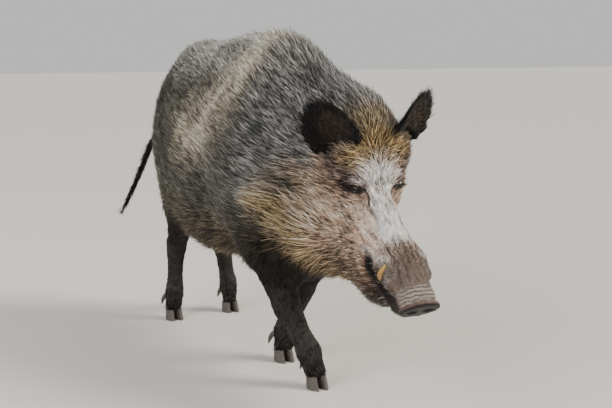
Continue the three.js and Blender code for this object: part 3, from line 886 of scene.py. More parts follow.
def face_relief(points):
    """How far the skin of the face stands out, in metres: folds, lips, wrinkles and hollows."""
    head = to_head(points)
    half = left_half(head)
    x, side, z = half.T
    ahead, across, up = from_disc(head).T
    at_eye = from_eye(head)[:, :2]
    along, above = at_eye.T
    eye_side = step(18, 40, side)

    folds, strength = snout_folds(head)
    relief = 1.8 * folds * strength * step(-4, -9, ahead)
    relief += 2.2 * hump(ahead, 0, 5) - 3.0 * hump(ahead, -9, 3)
    hole = np.hypot((across - NOSTRIL[0]) / 9.5, (up - NOSTRIL[1]) / 7.2)
    relief -= 8.0 * np.exp(-(hole**4)) * step(1, 5, ahead)
    relief += 1.5 * np.exp(-(((hole - 1.45) / 0.3) ** 2)) * step(1, 5, ahead)

    mouth = -44 - 0.10 * (430 - x)
    lips = step(282, 320, x) * step(-24, -50, ahead) * step(15, 30, side)
    relief += (4.5 * hump(z, mouth + 11, 8) - 6.5 * hump(z, mouth, 4.0)) * lips
    relief += 4.5 * spot(half, *LIP_FOLD) - 6.0 * spot(half, *TUSK_HOLLOW)
    relief += 4.0 * spot(half, *UPPER_LIP)
    relief -= 5.0 * spot(half, *MOUTH_CORNER)
    relief -= 5.0 * spot(half, *CHEEK_HOLLOW)
    furrows, furrowed = muzzle_furrows(half)
    relief -= 1.4 * furrows * furrowed
    slant = np.cos(2 * math.pi * (z + 0.35 * x) / 13)
    relief += 0.9 * slant * step(28, 8, z) * step(-50, -20, z) * step(300, 335, x) * step(372, 350, x)

    relief += 4.5 * spot(at_eye, *BROW_RIDGE) * eye_side
    relief -= 2.6 * spot(at_eye, *LID_CREASE) * eye_side
    relief += 6.0 * spot(at_eye, *POUCH) * eye_side
    relief -= 3.0 * spot(at_eye, *POUCH_CREASE) * eye_side
    relief -= 3.6 * tear_line(along, above) * eye_side
    relief += 1.6 * hump(along, 29 + 0.09 * above, 4) * step(6, 0, above) * step(-40, -28, above) * eye_side
    return relief * MM * step(-20, 30, x)


def behind_lids(points):
    """The skin drawn back where the lids and the eye stand before it."""
    head = to_head(points)
    side = np.where(head[:, 1:2] < 0, -1.0, 1.0)
    along, above, out = from_eye(head).T
    inside = step(20, 13, near_eye(head))
    drawn = out + (np.minimum(out, -9) - out) * inside
    moved = EYE + np.stack([along, above, drawn], 1) @ EYE_AXES
    moved[:, 1] *= side[:, 0]
    chosen = inside > 0
    points = points.copy()
    points[chosen] = from_head(moved[chosen])
    return points


def eyelids(side, tree):
    """Both lids of one eye as rings of points from the opening out to the skin, in metres."""
    around, rings = 48, 11
    angles = np.linspace(0, 2 * math.pi, around, endpoint=False)
    upper = np.sin(angles) > 0
    rise = np.where(upper, OPENING["upper"], OPENING["lower"]) * np.sin(angles)
    opening = np.stack([OPENING["half"] * np.cos(angles) + OPENING["middle"], rise], 1)
    edge_rise = np.sin(angles) * np.where(upper, LID_EDGE["upper"], LID_EDGE["lower"])
    edge = np.stack([LID_EDGE["half"] * np.cos(angles) + OPENING["middle"], edge_rise], 1)
    mirror = np.array([1, side, 1])
    points = []
    for ring in range(rings):
        t = ring / (rings - 1)
        flat = opening + (edge - opening) * t**1.15
        away = np.hypot(*flat.T)
        ball = np.sqrt(np.maximum((EYE_BALL["radius"] + 0.4) ** 2 - away**2, 2.0)) - EYE_BALL["sunk"]
        skin = []
        for place in flat:
            start = (EYE + np.array([*place, 70]) @ EYE_AXES) * mirror
            hit = tree.ray_cast(Vector(from_head(start)), Vector(head_vector(-EYE_OUT * mirror)))[0]
            skin.append(from_eye(to_head(np.array(hit))[None])[0, 2] if hit else 0.0)
        fold = 2.6 * math.sin(math.pi * min(t * 1.7, 1.0)) * np.where(upper, 1.15, 0.9)
        fold += np.where(upper, -1.3 * hump(t, 0.66, 0.09), -0.9 * hump(t, 0.74, 0.08))
        join = step(0.1, 0.85, t)
        depth = ball * (1 - join) + (np.array(skin) - 1.2 * t) * join + fold + 1.0 * (1 - t) ** 4
        points.append((EYE + np.column_stack([flat, depth]) @ EYE_AXES) * mirror)
    points.insert(0, points[0] - 3.0 * EYE_OUT * mirror)
    rows = len(points)
    grid = np.arange(rows * around).reshape(rows, around)
    a, b = grid[:-1], grid[1:]
    quads = np.stack([a, np.roll(a, -1, 1), np.roll(b, -1, 1), b], -1).reshape(-1, 4)
    if side < 0:
        quads = quads[:, ::-1]
    return from_head(np.concatenate(points)), quads


def with_lids(points, faces):
    """The hide's points and triangles with both pairs of lids joined on."""
    tree = BVHTree.FromPolygons(points.tolist(), faces.tolist())
    points = behind_lids(points)
    for side in SIDES.values():
        lid_points, quads = eyelids(side, tree)
        quads = quads + len(points)
        points = np.concatenate([points, lid_points])
        faces = np.concatenate([faces, quads[:, [0, 1, 2]], quads[:, [0, 2, 3]]])
    return points, faces


def skin_under_coat(props):
    """The flesh as one skin, drawn in by the coat's depth, and the share of each body part in it."""
    points, faces, source = joined_flesh()
    bodies = BVHTree.FromPolygons(points.tolist(), faces.tolist())
    mesh = remeshed(points, faces, props.hide_cell)
    net = Net(mesh)
    shares = shares_of_parts(mesh, net, bodies, source)
    points, faces = points_of(mesh), faces_of(mesh)
    bpy.data.meshes.remove(mesh)
    slender = np.clip(shares["ear_left"] + shares["ear_right"] + shares["tail"] + 2 * shares["snout"], 0, 1)
    foot = np.clip(sum(shares[name] for name in LEGS), 0, 1) * step(0.16, 0.06, points[:, 2])
    loose = 1 - np.clip(0.75 * slender + 0.6 * foot, 0, 1)
    bulk = np.clip(shares["trunk"] + shares["neck"], 0, 1) * (1 - slender)
    points = net.smooth(points, 9, 0.6 * loose)
    points = net.spread(points, 30, 0.6 * bulk)
    normals = normals_of(points, faces)
    depth = net.spread(coat_plan(points, normals, shares, props)[2], 10)
    points = points - normals * depth[:, None]
    return net.smooth(points, 5, 0.5 * loose), faces, shares


def skin_with_face(points, faces, shares, ratio):
    """The skin thinned, with the relief of the face and its lids; the lids' points come after the rest."""
    mesh = refined(thinned(points, faces, shares, ratio))
    net = Net(mesh)
    shares = {name: kept(mesh, "part_" + name) for name in FLESH}
    points, faces = points_of(mesh), faces_of(mesh)
    bpy.data.meshes.remove(mesh)
    face = step(0.5, 0.8, on_face(shares))
    points = net.smooth(points, 3, 0.5 * face)
    normals = normals_of(points, faces)
    points = points + normals * (face_relief(points) * face)[:, None]
    count = len(points)
    points, faces = with_lids(points, faces)
    lids = len(points) - count
    for name in FLESH:
        shares[name] = np.concatenate([shares[name], np.full(lids, 1.0 if name == "head" else 0.0)])
    return points, faces, shares, count


def build_hide(props):
    """One hide in place of all flesh, with its colours and painted light and what the coat needs to know of
    it.
    """
    points, faces, shares = skin_under_coat(props)
    points, faces, shares, count = skin_with_face(points, faces, shares, props.thinning)
    normals = normals_of(points, faces)
    hide = make_object("hide", points, faces)
    mesh = hide.data
    head = to_head(points)
    bare = step(-50, -40, from_disc(head)[:, 0]) * on_face(shares)
    bare[count:] = 0.7
    length = coat_plan(points, normals, shares, props)[0]
    # painted shade: the hide is darkened to 0.28 under hair longer than about 30 mm, as the coat's shadow;
    # bare skin and hair under 8 mm keep full colour
    shade = 0.28 + 0.72 * np.maximum(bare, step(0.030, 0.008, length))
    shade *= 1 + 0.22 * on_face(shares) * ripple(points, 0.007, 8)
    colour = markings_and_painted_light(points, normals, shares)
    rim = near_eye(head[count:])
    colour[count:] *= (1 - 0.5 * step(16, 11, rim))[:, None]
    paint(mesh, "markings_and_painted_light", colour * shade[:, None])
    keep(mesh, "bare", bare)
    keep(mesh, "lie", lie_of_coat(points, normals, shares))
    keep(mesh, "outward", normals)
    grows = np.ones(len(points))
    grows[count:] = 0
    keep(mesh, "grows", grows)
    for name in FLESH:
        keep(mesh, "part_" + name, shares[name])
    mesh.materials.append(material_named("boar_hide", hide_material))
    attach(hide, "root")
    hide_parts(*FLESH)


# ---------------------------------------------------------------- coat
LOCK_SIZE = 34  # roots that gather to one leader
ROOT_DEPTH = 0.0012  # how far under the skin a tuft starts, in metres
BELOW_BEND, ABOVE_BEND = 0.42, 0.58  # shares of a tuft's length
LIFT_PAST_BEND = 0.35  # share of the root's lift that is left past the bend
DARK_HAIR, PALE_HAIR = 0.25, 2.3  # how bright the darkest and the palest hairs are
TUFT_PATCH = np.array([(0, -1), (-1, 0), (1, 0), (0, 0.4), (0, 1)])  # its five points on the bake map
HALF_PATCH = 0.0015  # half the size of a patch there
HEAD_MAP = {"start": -80, "length": 580, "height": -20}  # of the axis that the head is unrolled about
BODY_AXIS = 0.56  # height in metres of the axis that the body is unrolled about
LIMB_REACH = 0.3  # how far from its middle a limb is unrolled, in metres


def scatter(mesh, props):
    """Roots spread evenly by density over the hide, with all that a tuft needs to know."""
    rng = np.random.default_rng(props.seed)
    points = points_of(mesh)
    faces = faces_of(mesh)
    grows = kept(mesh, "grows")
    faces = faces[grows[faces].min(1) > 0.5]
    part = {name: kept(mesh, "part_" + name) for name in FLESH}
    normals = kept(mesh, "outward")
    lie = kept(mesh, "lie")
    length, width, _, lift, density = coat_plan(points, normals, part, props)
    a, b, c = (points[faces[:, i]] for i in range(3))
    area = np.linalg.norm(np.cross(b - a, c - a), axis=1) / 2
    running = np.cumsum(area * density[faces].mean(1))
    total = int(props.tufts * (1))
    # evenly spaced marks along the running total, so that tufts neither bunch nor leave bald spots
    marks = (np.arange(total) + rng.uniform(0, 1, total)) * running[-1] / total
    chosen = np.minimum(np.searchsorted(running, marks), len(faces) - 1)
    u, v = rng.uniform(0, 1, (2, total))
    flip = u + v > 1
    u[flip], v[flip] = 1 - u[flip], 1 - v[flip]
    weights = np.stack([1 - u - v, u, v], 1)
    corners = faces[chosen]

    def at(values):
        if values.ndim == 1:
            return (values[corners] * weights).sum(1)
        return (values[corners] * weights[:, :, None]).sum(1)

    roots = {
        "point": at(points),
        "normal": unit(at(normals)),
        "lie": unit(at(lie)),
        "length": at(length),
        "width": at(width),
        "lift": at(lift),
    }
    roots["part"] = {name: at(part[name]) for name in FLESH}
    return roots, rng


def locks_of(points, rng):
    """For each root, the root that leads its lock."""
    leaders = rng.permutation(len(points))[: len(points) // LOCK_SIZE]
    tree = KDTree(len(leaders))
    for place in leaders:
        tree.insert(Vector(points[place]), int(place))
    tree.balance()
    return np.array([tree.find(Vector(point))[1] for point in points])


def tufts(roots, rng):
    """Points, triangles and colours of one bristle tuft for each root: a three-sided spindle with a bend."""
    count = len(roots["point"])
    root = roots["point"]
    normal = roots["normal"]
    lie = roots["lie"]
    on_head = on_face(roots["part"])
    loose = 0.17 + 0.35 * on_head * spot(left_half(to_head(root)), *CROWN_LOOSE)
    turn = (rng.normal(0, 1, count) * loose + 0.06 * ripple(root, 0.028, 11))[:, None]
    lie = unit(lie * np.cos(turn) + np.cross(normal, lie) * np.sin(turn))
    across = unit(np.cross(normal, lie))
    length = (roots["length"] * rng.uniform(0.6, 1.25, count))[:, None]
    lift = roots["lift"] * rng.uniform(0.4, 1.6, count) * (1 + 0.2 * ripple(root, 0.024, 12))
    lift = np.clip(lift, 0.05, 1.05)[:, None]
    start = root - normal * ROOT_DEPTH
    first = lie * np.cos(lift) + normal * np.sin(lift)
    sway = rng.normal(0, 0.12, count)[:, None]
    past = lift * LIFT_PAST_BEND
    second = unit(lie * np.cos(past) + normal * np.sin(past) + across * sway)
    middle = start + first * length * BELOW_BEND
    tip = middle + second * length * ABOVE_BEND

    leader = locks_of(root, rng)
    gather = (np.minimum(roots["length"] / 0.045, 1) * rng.uniform(0.0, 0.36, count))[:, None]
    to_leader = tip[leader] - tip
    to_leader -= normal * (to_leader * normal).sum(1, keepdims=True)
    near = step(0.03, 0.012, np.linalg.norm(root[leader] - root, axis=1))[:, None]
    tip = tip + to_leader * gather * near

    half = (roots["width"] * rng.uniform(0.7, 1.3, count))[:, None] / 2
    over = unit(np.cross(across, first))
    ring = [middle + across * half, middle - across * half, middle - over * half * 0.8]
    points = np.stack([start, *ring, tip], 1).reshape(-1, 3)
    pattern = [(0, 2, 1), (0, 3, 2), (0, 1, 3), (1, 2, 4), (2, 3, 4), (3, 1, 4)]
    faces = (np.arange(count)[:, None] * 5 + np.array(pattern).reshape(1, -1)).reshape(count, -1, 3)
    from_root = points.reshape(count, 5, 3)[:, 1:4] - points.reshape(count, 5, 3)[:, :1]
    volume = np.einsum("ij,ij->i", np.cross(from_root[:, 0], from_root[:, 1]), from_root[:, 2])
    faces[volume > 0] = faces[volume > 0][:, :, ::-1]

    colour = markings_and_painted_light(root, normal, roots["part"])
    shade = rng.normal(1.0, 0.16, count) * (1 + 0.16 * ripple(root, 0.016, 5))
    shade *= 1 + 0.48 * on_head * ripple(root, 0.0075, 6)
    shade *= rng.normal(1.0, 0.10, count)[leader]
    kind = rng.uniform(0, 1, count)
    dark = 0.44 - 0.24 * step(0.18, 0.5, colour.mean(1)) - 0.10 * step(0.55, 0.75, colour.mean(1))
    shade = np.where(kind < dark, shade * DARK_HAIR, np.where(kind > 0.78, shade * PALE_HAIR, shade))
    pale = 0.6 * np.clip(roots["length"] / 0.028, 0.15, 1)
    bands = np.stack([1 - 1.1 * pale] + [1 - 0.3 * pale] * 3 + [1 + pale], 1)
    colours = (colour * np.clip(shade, 0.1, 3.4)[:, None])[:, None, :] * bands[:, :, None]
    return points, faces.reshape(-1, 3), np.clip(colours, 0.001, 1).reshape(-1, 3)


def unrolled(along, across, up):
    """Places on the map, from shares along an axis and from how far points lie beside it and above it."""
    return np.stack([along, np.arctan2(across, up) / (2 * math.pi) + 0.5], 1)


def unwrap(roots, group):
    """The place of each root on an unrolled hide, from 0 to 1 both ways."""
    points = roots["point"]
    if group == "head":
        head = to_head(points)
        along = (head[:, 0] - HEAD_MAP["start"]) / HEAD_MAP["length"]
        return unrolled(along, head[:, 1], head[:, 2] - HEAD_MAP["height"])
    if group in ("legs", "ears_and_tail"):
        names = LEGS if group == "legs" else (*EARS, "tail")
        shares = np.stack([roots["part"][name] for name in names], 1)
        which = shares.argmax(1)
        place = np.zeros((len(points), 2))
        for number, name in enumerate(names):
            own = which == number
            centre = centre_of(name)
            axis = np.array([0, 0, 1.0]) if group == "legs" else long_axis(name)
            reach = (points[own] - centre) @ axis
            away = points[own] - centre - reach[:, None] * axis
            side = unit(np.cross(axis, (1, 0.3, 0)))
            angle = np.arctan2(away @ side, away @ np.cross(axis, side))
            place[own, 0] = (number + 0.5 + 0.9 * angle / (2 * math.pi)) / len(names)
            place[own, 1] = (reach + LIMB_REACH) / (2 * LIMB_REACH)
        return place
    low, high = START_BOUNDS
    along = (points[:, 0] - low[0]) / (high[0] - low[0])
    return unrolled(along, points[:, 1], points[:, 2] - BODY_AXIS)


def add_bake_map(mesh, place, corner):
    """A small patch for each tuft or bristle, at its root's place on the unrolled hide."""
    place = np.clip(place, 2 * HALF_PATCH, 1 - 2 * HALF_PATCH)
    vertex_uv = (place[:, None, :] + HALF_PATCH * corner[None]).reshape(-1, 2)
    layer = mesh.uv_layers.new(name="OFBake")
    loops = np.empty(len(mesh.loops), dtype=np.int64)
    mesh.loops.foreach_get("vertex_index", loops)
    layer.data.foreach_set("uv", vertex_uv[loops].astype(np.float32).ravel())


def coat_groups(roots):
    """The roots of each piece of the coat: {name: (group, which roots)}."""
    part = roots["part"]
    ears_tail = part["ear_left"] + part["ear_right"] + part["tail"] > 0.5
    legs = (sum(part[name] for name in LEGS) > 0.5) & ~ears_tail
    head = (part["head"] + part["snout"] > 0.5) & ~ears_tail & ~legs
    body = ~(ears_tail | legs | head)
    pieces = {}
    for group, chosen in (("body", body), ("head", head), ("legs", legs), ("ears_and_tail", ears_tail)):
        members = np.flatnonzero(chosen)
        members = members[np.argsort(roots["point"][members, 0], kind="stable")]
        count = max(1, math.ceil(len(members) / MOST_TUFTS))
        for number, some in enumerate(np.array_split(members, count)):
            name = f"coat_{group}" if count == 1 else f"coat_{group}_{number + 1}"
            pieces[name] = (group, some)
    return pieces


def build_coat(props):
    """The whole coat, in pieces that are each small enough to export."""
    roots, rng = scatter(bpy.data.objects["hide"].data, props)
    material = material_named("boar_bristles", hair_material)
    for name, (group, chosen) in coat_groups(roots).items():
        own = {key: value[chosen] for key, value in roots.items() if key != "part"}
        own["part"] = {key: value[chosen] for key, value in roots["part"].items()}
        points, faces, colours = tufts(own, rng)
        coat = make_object(name, points, faces)
        mesh = coat.data
        paint(mesh, "markings_and_painted_light", colours)
        add_bake_map(mesh, unwrap(own, group), TUFT_PATCH)
        mesh.materials.append(material)
        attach(coat, "root")


# ---------------------------------------------------------------- lashes and whiskers
def bristle_tree():
    """Geometry nodes that stand a tapering bristle on each point, along its aim and as long as its size."""
    tree = bpy.data.node_groups.new("bristles_on_points", "GeometryNodeTree")
    for name, way, kind in (
        ("Geometry", "INPUT", "Geometry"),
        ("Thickness", "INPUT", "Float"),
        ("Material", "INPUT", "Material"),
        ("Geometry", "OUTPUT", "Geometry"),
    ):
        tree.interface.new_socket(name, in_out=way, socket_type="NodeSocket" + kind)
    given = add(tree, "NodeGroupInput").outputs
    aim, size = (
        add(tree, "GeometryNodeInputNamedAttribute", data_type=kind, Name=name).outputs["Attribute"]
        for name, kind in (("aim", "FLOAT_VECTOR"), ("size", "FLOAT"))
    )
    cone = add(tree, "GeometryNodeMeshCone", Vertices=4, Radius_Bottom=1.0, Radius_Top=0.08, Depth=1.0)
    turned = add(tree, "FunctionNodeAlignRotationToVector", axis="Z", Vector=aim)
    scale = add(tree, "ShaderNodeCombineXYZ", X=given["Thickness"], Y=given["Thickness"], Z=size)
    bristle = cone.outputs["Mesh"]
    placed = add(tree, "GeometryNodeInstanceOnPoints", Points=given["Geometry"], Instance=bristle)
    tree.links.new(turned.outputs["Rotation"], placed.inputs["Rotation"])
    tree.links.new(scale.outputs["Vector"], placed.inputs["Scale"])
    real = add(tree, "GeometryNodeRealizeInstances", Geometry=placed.outputs["Instances"]).outputs["Geometry"]
    dressed = add(tree, "GeometryNodeSetMaterial", Geometry=real, Material=given["Material"])
    add(tree, "NodeGroupOutput", Geometry=dressed.outputs["Geometry"])
    return tree


def stand_bristles(name, points, aims, sizes, colours, thickness):
    """One piece of bristles from their roots, aims, sizes and colours."""
    roots = make_object(name + "_roots", points, np.zeros((0, 3), dtype=int))
    keep(roots.data, "aim", aims)
    keep(roots.data, "size", sizes)
    paint(roots.data, "markings_and_painted_light", colours)
    tree = bpy.data.node_groups.get("bristles_on_points") or bristle_tree()
    modifier = roots.modifiers.new("bristles", "NODES")
    modifier.node_group = tree
    sockets = {item.name: item.identifier for item in tree.interface.items_tree if item.in_out == "INPUT"}
    modifier[sockets["Thickness"]] = thickness
    modifier[sockets["Material"]] = material_named("boar_bristles", hair_material)
    piece = bpy.data.objects.new(name, finished_mesh(roots))
    bpy.context.scene.collection.objects.link(piece)
    corners = len(piece.data.vertices) // len(points)
    turn = 2 * math.pi * np.arange(corners) / corners
    patch = np.stack([np.cos(turn), np.sin(turn)], 1)
    add_bake_map(piece.data, unwrap({"point": points}, "head"), patch)
    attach(piece, "root")


LASHES = 44  # on each upper lid
JAW_BRISTLES = 620
LIP_BRISTLES = 120


def build_lashes(props):
    """Dark lashes that droop from both upper lids."""
    rng = np.random.default_rng(props.seed + 1)
    points, aims, sizes = [], [], []
    for side in SIDES.values():
        angle = rng.uniform(0.12, 0.92, LASHES) * math.pi
        flat = np.stack([(OPENING["half"] + 1) * np.cos(angle) + OPENING["middle"], 4.4 * np.sin(angle)], 1)
        out = np.sqrt((EYE_BALL["radius"] + 1.6) ** 2 - (flat**2).sum(1)) - EYE_BALL["sunk"]
        mirror = np.array([1, side, 1])
        points.append(from_head((EYE + np.column_stack([flat, out]) @ EYE_AXES) * mirror))
        droop = -0.25 + rng.normal(0, 0.15, LASHES)
        aim = np.column_stack([0.5 * np.cos(angle), droop, np.full(LASHES, 0.8)])
        aims.append(head_vector(aim @ EYE_AXES * mirror))
        sizes.append(rng.uniform(7, 12, LASHES) * MM)
    points, aims, sizes = np.concatenate(points), unit(np.concatenate(aims)), np.concatenate(sizes)
    colours = np.tile(COLOURS["tear"], (len(points), 1))
    stand_bristles("lashes", points, aims, sizes, colours, 0.35 * MM)


def build_whiskers(props):
    """Stiff single bristles along the lower jaw, the chin and the lips."""
    rng = np.random.default_rng(props.seed + 2)
    mesh = bpy.data.objects["hide"].data
    head = to_head(points_of(mesh))
    on_head = kept(mesh, "part_head") + kept(mesh, "part_snout") > 0.8
    low = head[:, 2] + 0.12 * (head[:, 0] - 300)
    jaw = on_head & (low < -62) & (head[:, 0] > 90) & (from_disc(head)[:, 0] < -30)
    lips = on_head & (np.abs(head[:, 2] + 20) < 26) & (head[:, 0] > 300) & (from_disc(head)[:, 0] < -40)
    on_jaw = rng.choice(np.flatnonzero(jaw), JAW_BRISTLES)
    on_lips = rng.choice(np.flatnonzero(lips), LIP_BRISTLES)
    chosen = np.concatenate([on_jaw, on_lips])
    normals = kept(mesh, "outward")[chosen]
    aims = unit(kept(mesh, "lie")[chosen] + normals * 0.55 + rng.normal(0, 0.22, (len(chosen), 3)))
    sizes = rng.uniform(12, 34, len(chosen)) * np.where(np.arange(len(chosen)) < JAW_BRISTLES, 1, 0.45) * MM
    tint = np.where(rng.uniform(0, 1, (len(chosen), 1)) < 0.3, COLOURS["pale"] * 0.8, COLOURS["jaw"] * 0.5)
    stand_bristles("whiskers", points_of(mesh)[chosen], aims, sizes, tint, 0.34 * MM)


# ---------------------------------------------------------------- eyes, tusks and hooves
def tube_faces(rings, turns, caps):
    """Triangles of a closed tube of rings, with one more point at each end."""
    grid = np.arange(rings * turns).reshape(rings, turns)
    a, b = grid[:-1], grid[1:]
    quads = np.stack([a, b, np.roll(b, -1, 1), np.roll(a, -1, 1)], -1).reshape(-1, 4)
    first, last = caps
    start = np.stack([np.full(turns, first), grid[0], np.roll(grid[0], -1)], 1)
    end = np.stack([np.full(turns, last), np.roll(grid[-1], -1), grid[-1]], 1)
    return np.concatenate([quads[:, [0, 1, 2]], quads[:, [0, 2, 3]], start, end])


def turn_outwards(mesh):
    """Makes all faces of a closed mesh point outwards."""
    work = bmesh.new()
    work.from_mesh(mesh)
    bmesh.ops.recalc_face_normals(work, faces=work.faces)
    work.to_mesh(mesh)
    work.free()


def build_eye(name, side):
    """The eyeball, with a cornea that stands out a little, looking out between the lids."""
    turns, rows = 40, 28
    u = np.linspace(0, 2 * math.pi, turns, endpoint=False)
    v = np.linspace(0, math.pi, rows)[1:-1]
    across, spin = np.meshgrid(v, u, indexing="ij")
    flat = np.sin(across)
    radius = EYE_BALL["radius"] + 0.5 * np.exp(-((across / 0.5) ** 2))
    ball = np.stack([radius * flat * np.cos(spin), radius * flat * np.sin(spin), radius * np.cos(across)], -1)
    ball = np.concatenate([ball.reshape(-1, 3), [[0, 0, radius[0, 0]], [0, 0, -EYE_BALL["radius"]]]])
    angle = np.concatenate([across.ravel(), [0, math.pi]])
    ball[:, 2] -= EYE_BALL["sunk"]
    ball = (EYE + ball @ EYE_AXES) * (1, side, 1)
    faces = tube_faces(rows - 2, turns, (len(ball) - 2, len(ball) - 1))
    eye = make_object(name.replace("eye", "eyeball"), from_head(ball), faces)
    turn_outwards(eye.data)
    iris = linear("2c1a10")[None] * (1 - 0.5 * hump(angle, 0.62, 0.12))[:, None]
    colour = iris * step(0.30, 0.34, angle)[:, None]
    colour += (linear("33241d")[None] - colour) * step(0.74, 0.84, angle)[:, None]
    paint(eye.data, "iris", np.clip(colour, 0.001, 1))
    eye.data.materials.append(material_named("boar_eye", eye_material))
    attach(eye, "root")
    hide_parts(name)


TUSK_PATH = (
    (350, 30, -44),
    (356, 42, -34),
    (361, 49, -16),
    (364, 53, -4),
    (366, 55, 8),
    (366, 53, 20),
    (364, 49, 31),
)
TUSK_LENGTHS = {1: 0.55, -1: 1.0}  # the left one is worn short


def build_tusk(name, side):
    """A curved three-cornered canine that rises out of the lower jaw, worn to a point."""
    knots = np.array(TUSK_PATH, float)
    rings, turns = 30, 18
    t = np.linspace(0, 1, rings)
    spots = np.linspace(0, 1, len(knots))
    centre = np.stack([np.interp(t * TUSK_LENGTHS[side], spots, knots[:, c]) for c in range(3)], 1)
    for _ in range(6):
        centre[1:-1] = (centre[:-2] + 2 * centre[1:-1] + centre[2:]) / 4
    ahead = unit(np.gradient(centre, axis=0))
    out = unit(np.cross(ahead, (1.0, 0, 0)))
    front = np.cross(out, ahead)
    radius = 8.4 * np.sqrt(np.clip(1.02 - t**1.9, 0.01, 1))
    angles = np.linspace(0, 2 * math.pi, turns, endpoint=False)
    shape = 1 + 0.10 * np.cos(3 * angles)
    ring = (
        centre[:, None]
        + out[:, None] * (radius[:, None] * np.cos(angles) * shape * 0.95)[..., None]
        + front[:, None] * (radius[:, None] * np.sin(angles) * shape)[..., None]
    )
    points = np.concatenate([ring.reshape(-1, 3), centre[:1], centre[-1:] + ahead[-1:] * 2])
    faces = tube_faces(rings, turns, (len(points) - 2, len(points) - 1))
    tusk = make_object(name.replace("tusk", "canine"), from_head(points * (1, side, 1)), faces)
    mesh = tusk.data
    turn_outwards(mesh)
    keep(mesh, "along", np.concatenate([np.repeat(t, turns), [0, 1]]))
    mesh.materials.append(material_named("tusk_ivory", tusk_material))
    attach(tusk, "root")
    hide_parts(name)


def build_hooves():
    """The hooves and dewclaws keep their solids, in horn."""
    material = material_named("hoof_horn", horn_material)
    for name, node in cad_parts.items():
        if name.startswith(("hoof_", "dewclaw_")):
            for slot in node.material_slots:
                slot.material = material


# ---------------------------------------------------------------- stage
LAMPS = (  # name, kind, where it shines from, width, power, colour
    ("key", "SUN", (1.0, 1.25, 1.75), math.radians(24), 3.0, "fff6ea"),
    ("fill", "AREA", (1.4, -3.4, 2.3), 2.8, 120, "f8f8f9"),
)
LAMPS_AIM = (0.1, 0, 0.5)
FLOOR_SIZE = 60
FLOOR_COLOUR = "d9d6d0"
SKY = ("e8e8e7", 0.82)  # colour and strength
CAMERA = {
    "place": (2.5278, -1.2114, 0.8604),
    "heading": (-0.8887, 0.4586, 0),  # where it looks, before it is pitched down
    "lens": 61.76,
    "sensor": 36,
}


def build_stage(props):
    """The floor, the light and the camera."""
    bpy.ops.mesh.primitive_plane_add(size=FLOOR_SIZE, location=(0, 0, 0))
    floor = bpy.context.object
    floor.name = "floor"
    material, _, surface = new_material("pale_floor", linear(FLOOR_COLOUR))
    surface.inputs["Base Color"].default_value = (*linear(FLOOR_COLOUR), 1)
    surface.inputs["Roughness"].default_value = 0.9
    floor.data.materials.append(material)

    world = bpy.context.scene.world or bpy.data.worlds.new("studio")
    bpy.context.scene.world = world
    world.use_nodes = True
    sky = world.node_tree.nodes["Background"]
    sky.inputs["Color"].default_value = (*linear(SKY[0]), 1)
    sky.inputs["Strength"].default_value = SKY[1]

    for name, kind, place, size, power, colour in LAMPS:
        light = bpy.data.lights.new(name, kind)
        if kind == "SUN":
            light.angle = size
        else:
            light.size = size
        light.energy = power
        light.color = linear(colour)
        lamp = bpy.data.objects.new(name, light)
        lamp.location = place
        lamp.rotation_euler = (Vector(LAMPS_AIM) - Vector(place)).to_track_quat("-Z", "Y").to_euler()
        bpy.context.scene.collection.objects.link(lamp)

    lens = bpy.data.cameras.new("camera")
    lens.lens = CAMERA["lens"]
    lens.sensor_width = CAMERA["sensor"]
    camera = bpy.data.objects.new("camera", lens)
    camera.location = CAMERA["place"]
    level = Vector(CAMERA["heading"]).normalized()
    gaze = level * math.cos(props.pitch) - Vector((0, 0, 1)) * math.sin(props.pitch)
    camera.rotation_euler = gaze.to_track_quat("-Z", "Y").to_euler()
    bpy.context.scene.collection.objects.link(camera)
    bpy.context.scene.camera = camera


# ---------------------------------------------------------------- add-on
class BoarProperties(bpy.types.PropertyGroup):
    body_hair: FloatProperty(
        name="Body hair",
        description="Length of the bristles on the flanks",
        default=0.040,
        unit="LENGTH",
    )
    mane: FloatProperty(
        name="Mane",
        description="Length of the bristles along the back and neck",
        default=0.056,
        unit="LENGTH",
    )
    tufts: IntProperty(
        name="Tufts",
        description="How many tufts the whole coat has",
        default=236000,
        min=1000,
    )
    hide_cell: FloatProperty(
        name="Hide cell",
        description="Size of the hide's faces before they are thinned",
        default=0.0053,
        unit="LENGTH",
    )
    thinning: FloatProperty(
        name="Thinning",
        description="Share of the hide's faces that is kept",
        default=0.53,
        subtype="FACTOR",
        min=0.5,
    )
    flank_colour: FloatVectorProperty(
        name="Flank",
        description="Colour of the flanks",
        default=COLOURS["flank"],
        subtype="COLOR",
        min=0,
        max=1,
    )
    crown_colour: FloatVectorProperty(
        name="Crown",
        description="Colour of the golden crown",
        default=COLOURS["crown"],
        subtype="COLOR",
        min=0,
        max=1,
    )
    cheek_colour: FloatVectorProperty(
        name="Cheeks",
        description="Colour of the cheeks",
        default=COLOURS["cheek"],
        subtype="COLOR",
        min=0,
        max=1,
    )
    leg_colour: FloatVectorProperty(
        name="Legs",
        description="Colour of the legs",
        default=COLOURS["leg"],
        subtype="COLOR",
        min=0,
        max=1,
    )
    seed: IntProperty(
        name="Seed",
        description="Chooses one of many random coats",
        default=7,
    )
    pitch: FloatProperty(
        name="Camera pitch",
        description="How far the camera looks down",
        default=math.radians(8.61),
        subtype="ANGLE",
    )


class BoarOperator:
    """Shared by the steps: takes the chosen colours and runs build."""

    bl_options = {"REGISTER", "UNDO"}

    def execute(self, context):
        props = context.scene.boar
        for name in ("flank", "crown", "cheek", "leg"):
            COLOURS[name] = np.array(getattr(props, name + "_colour"))
        self.build(props)
        return {"FINISHED"}


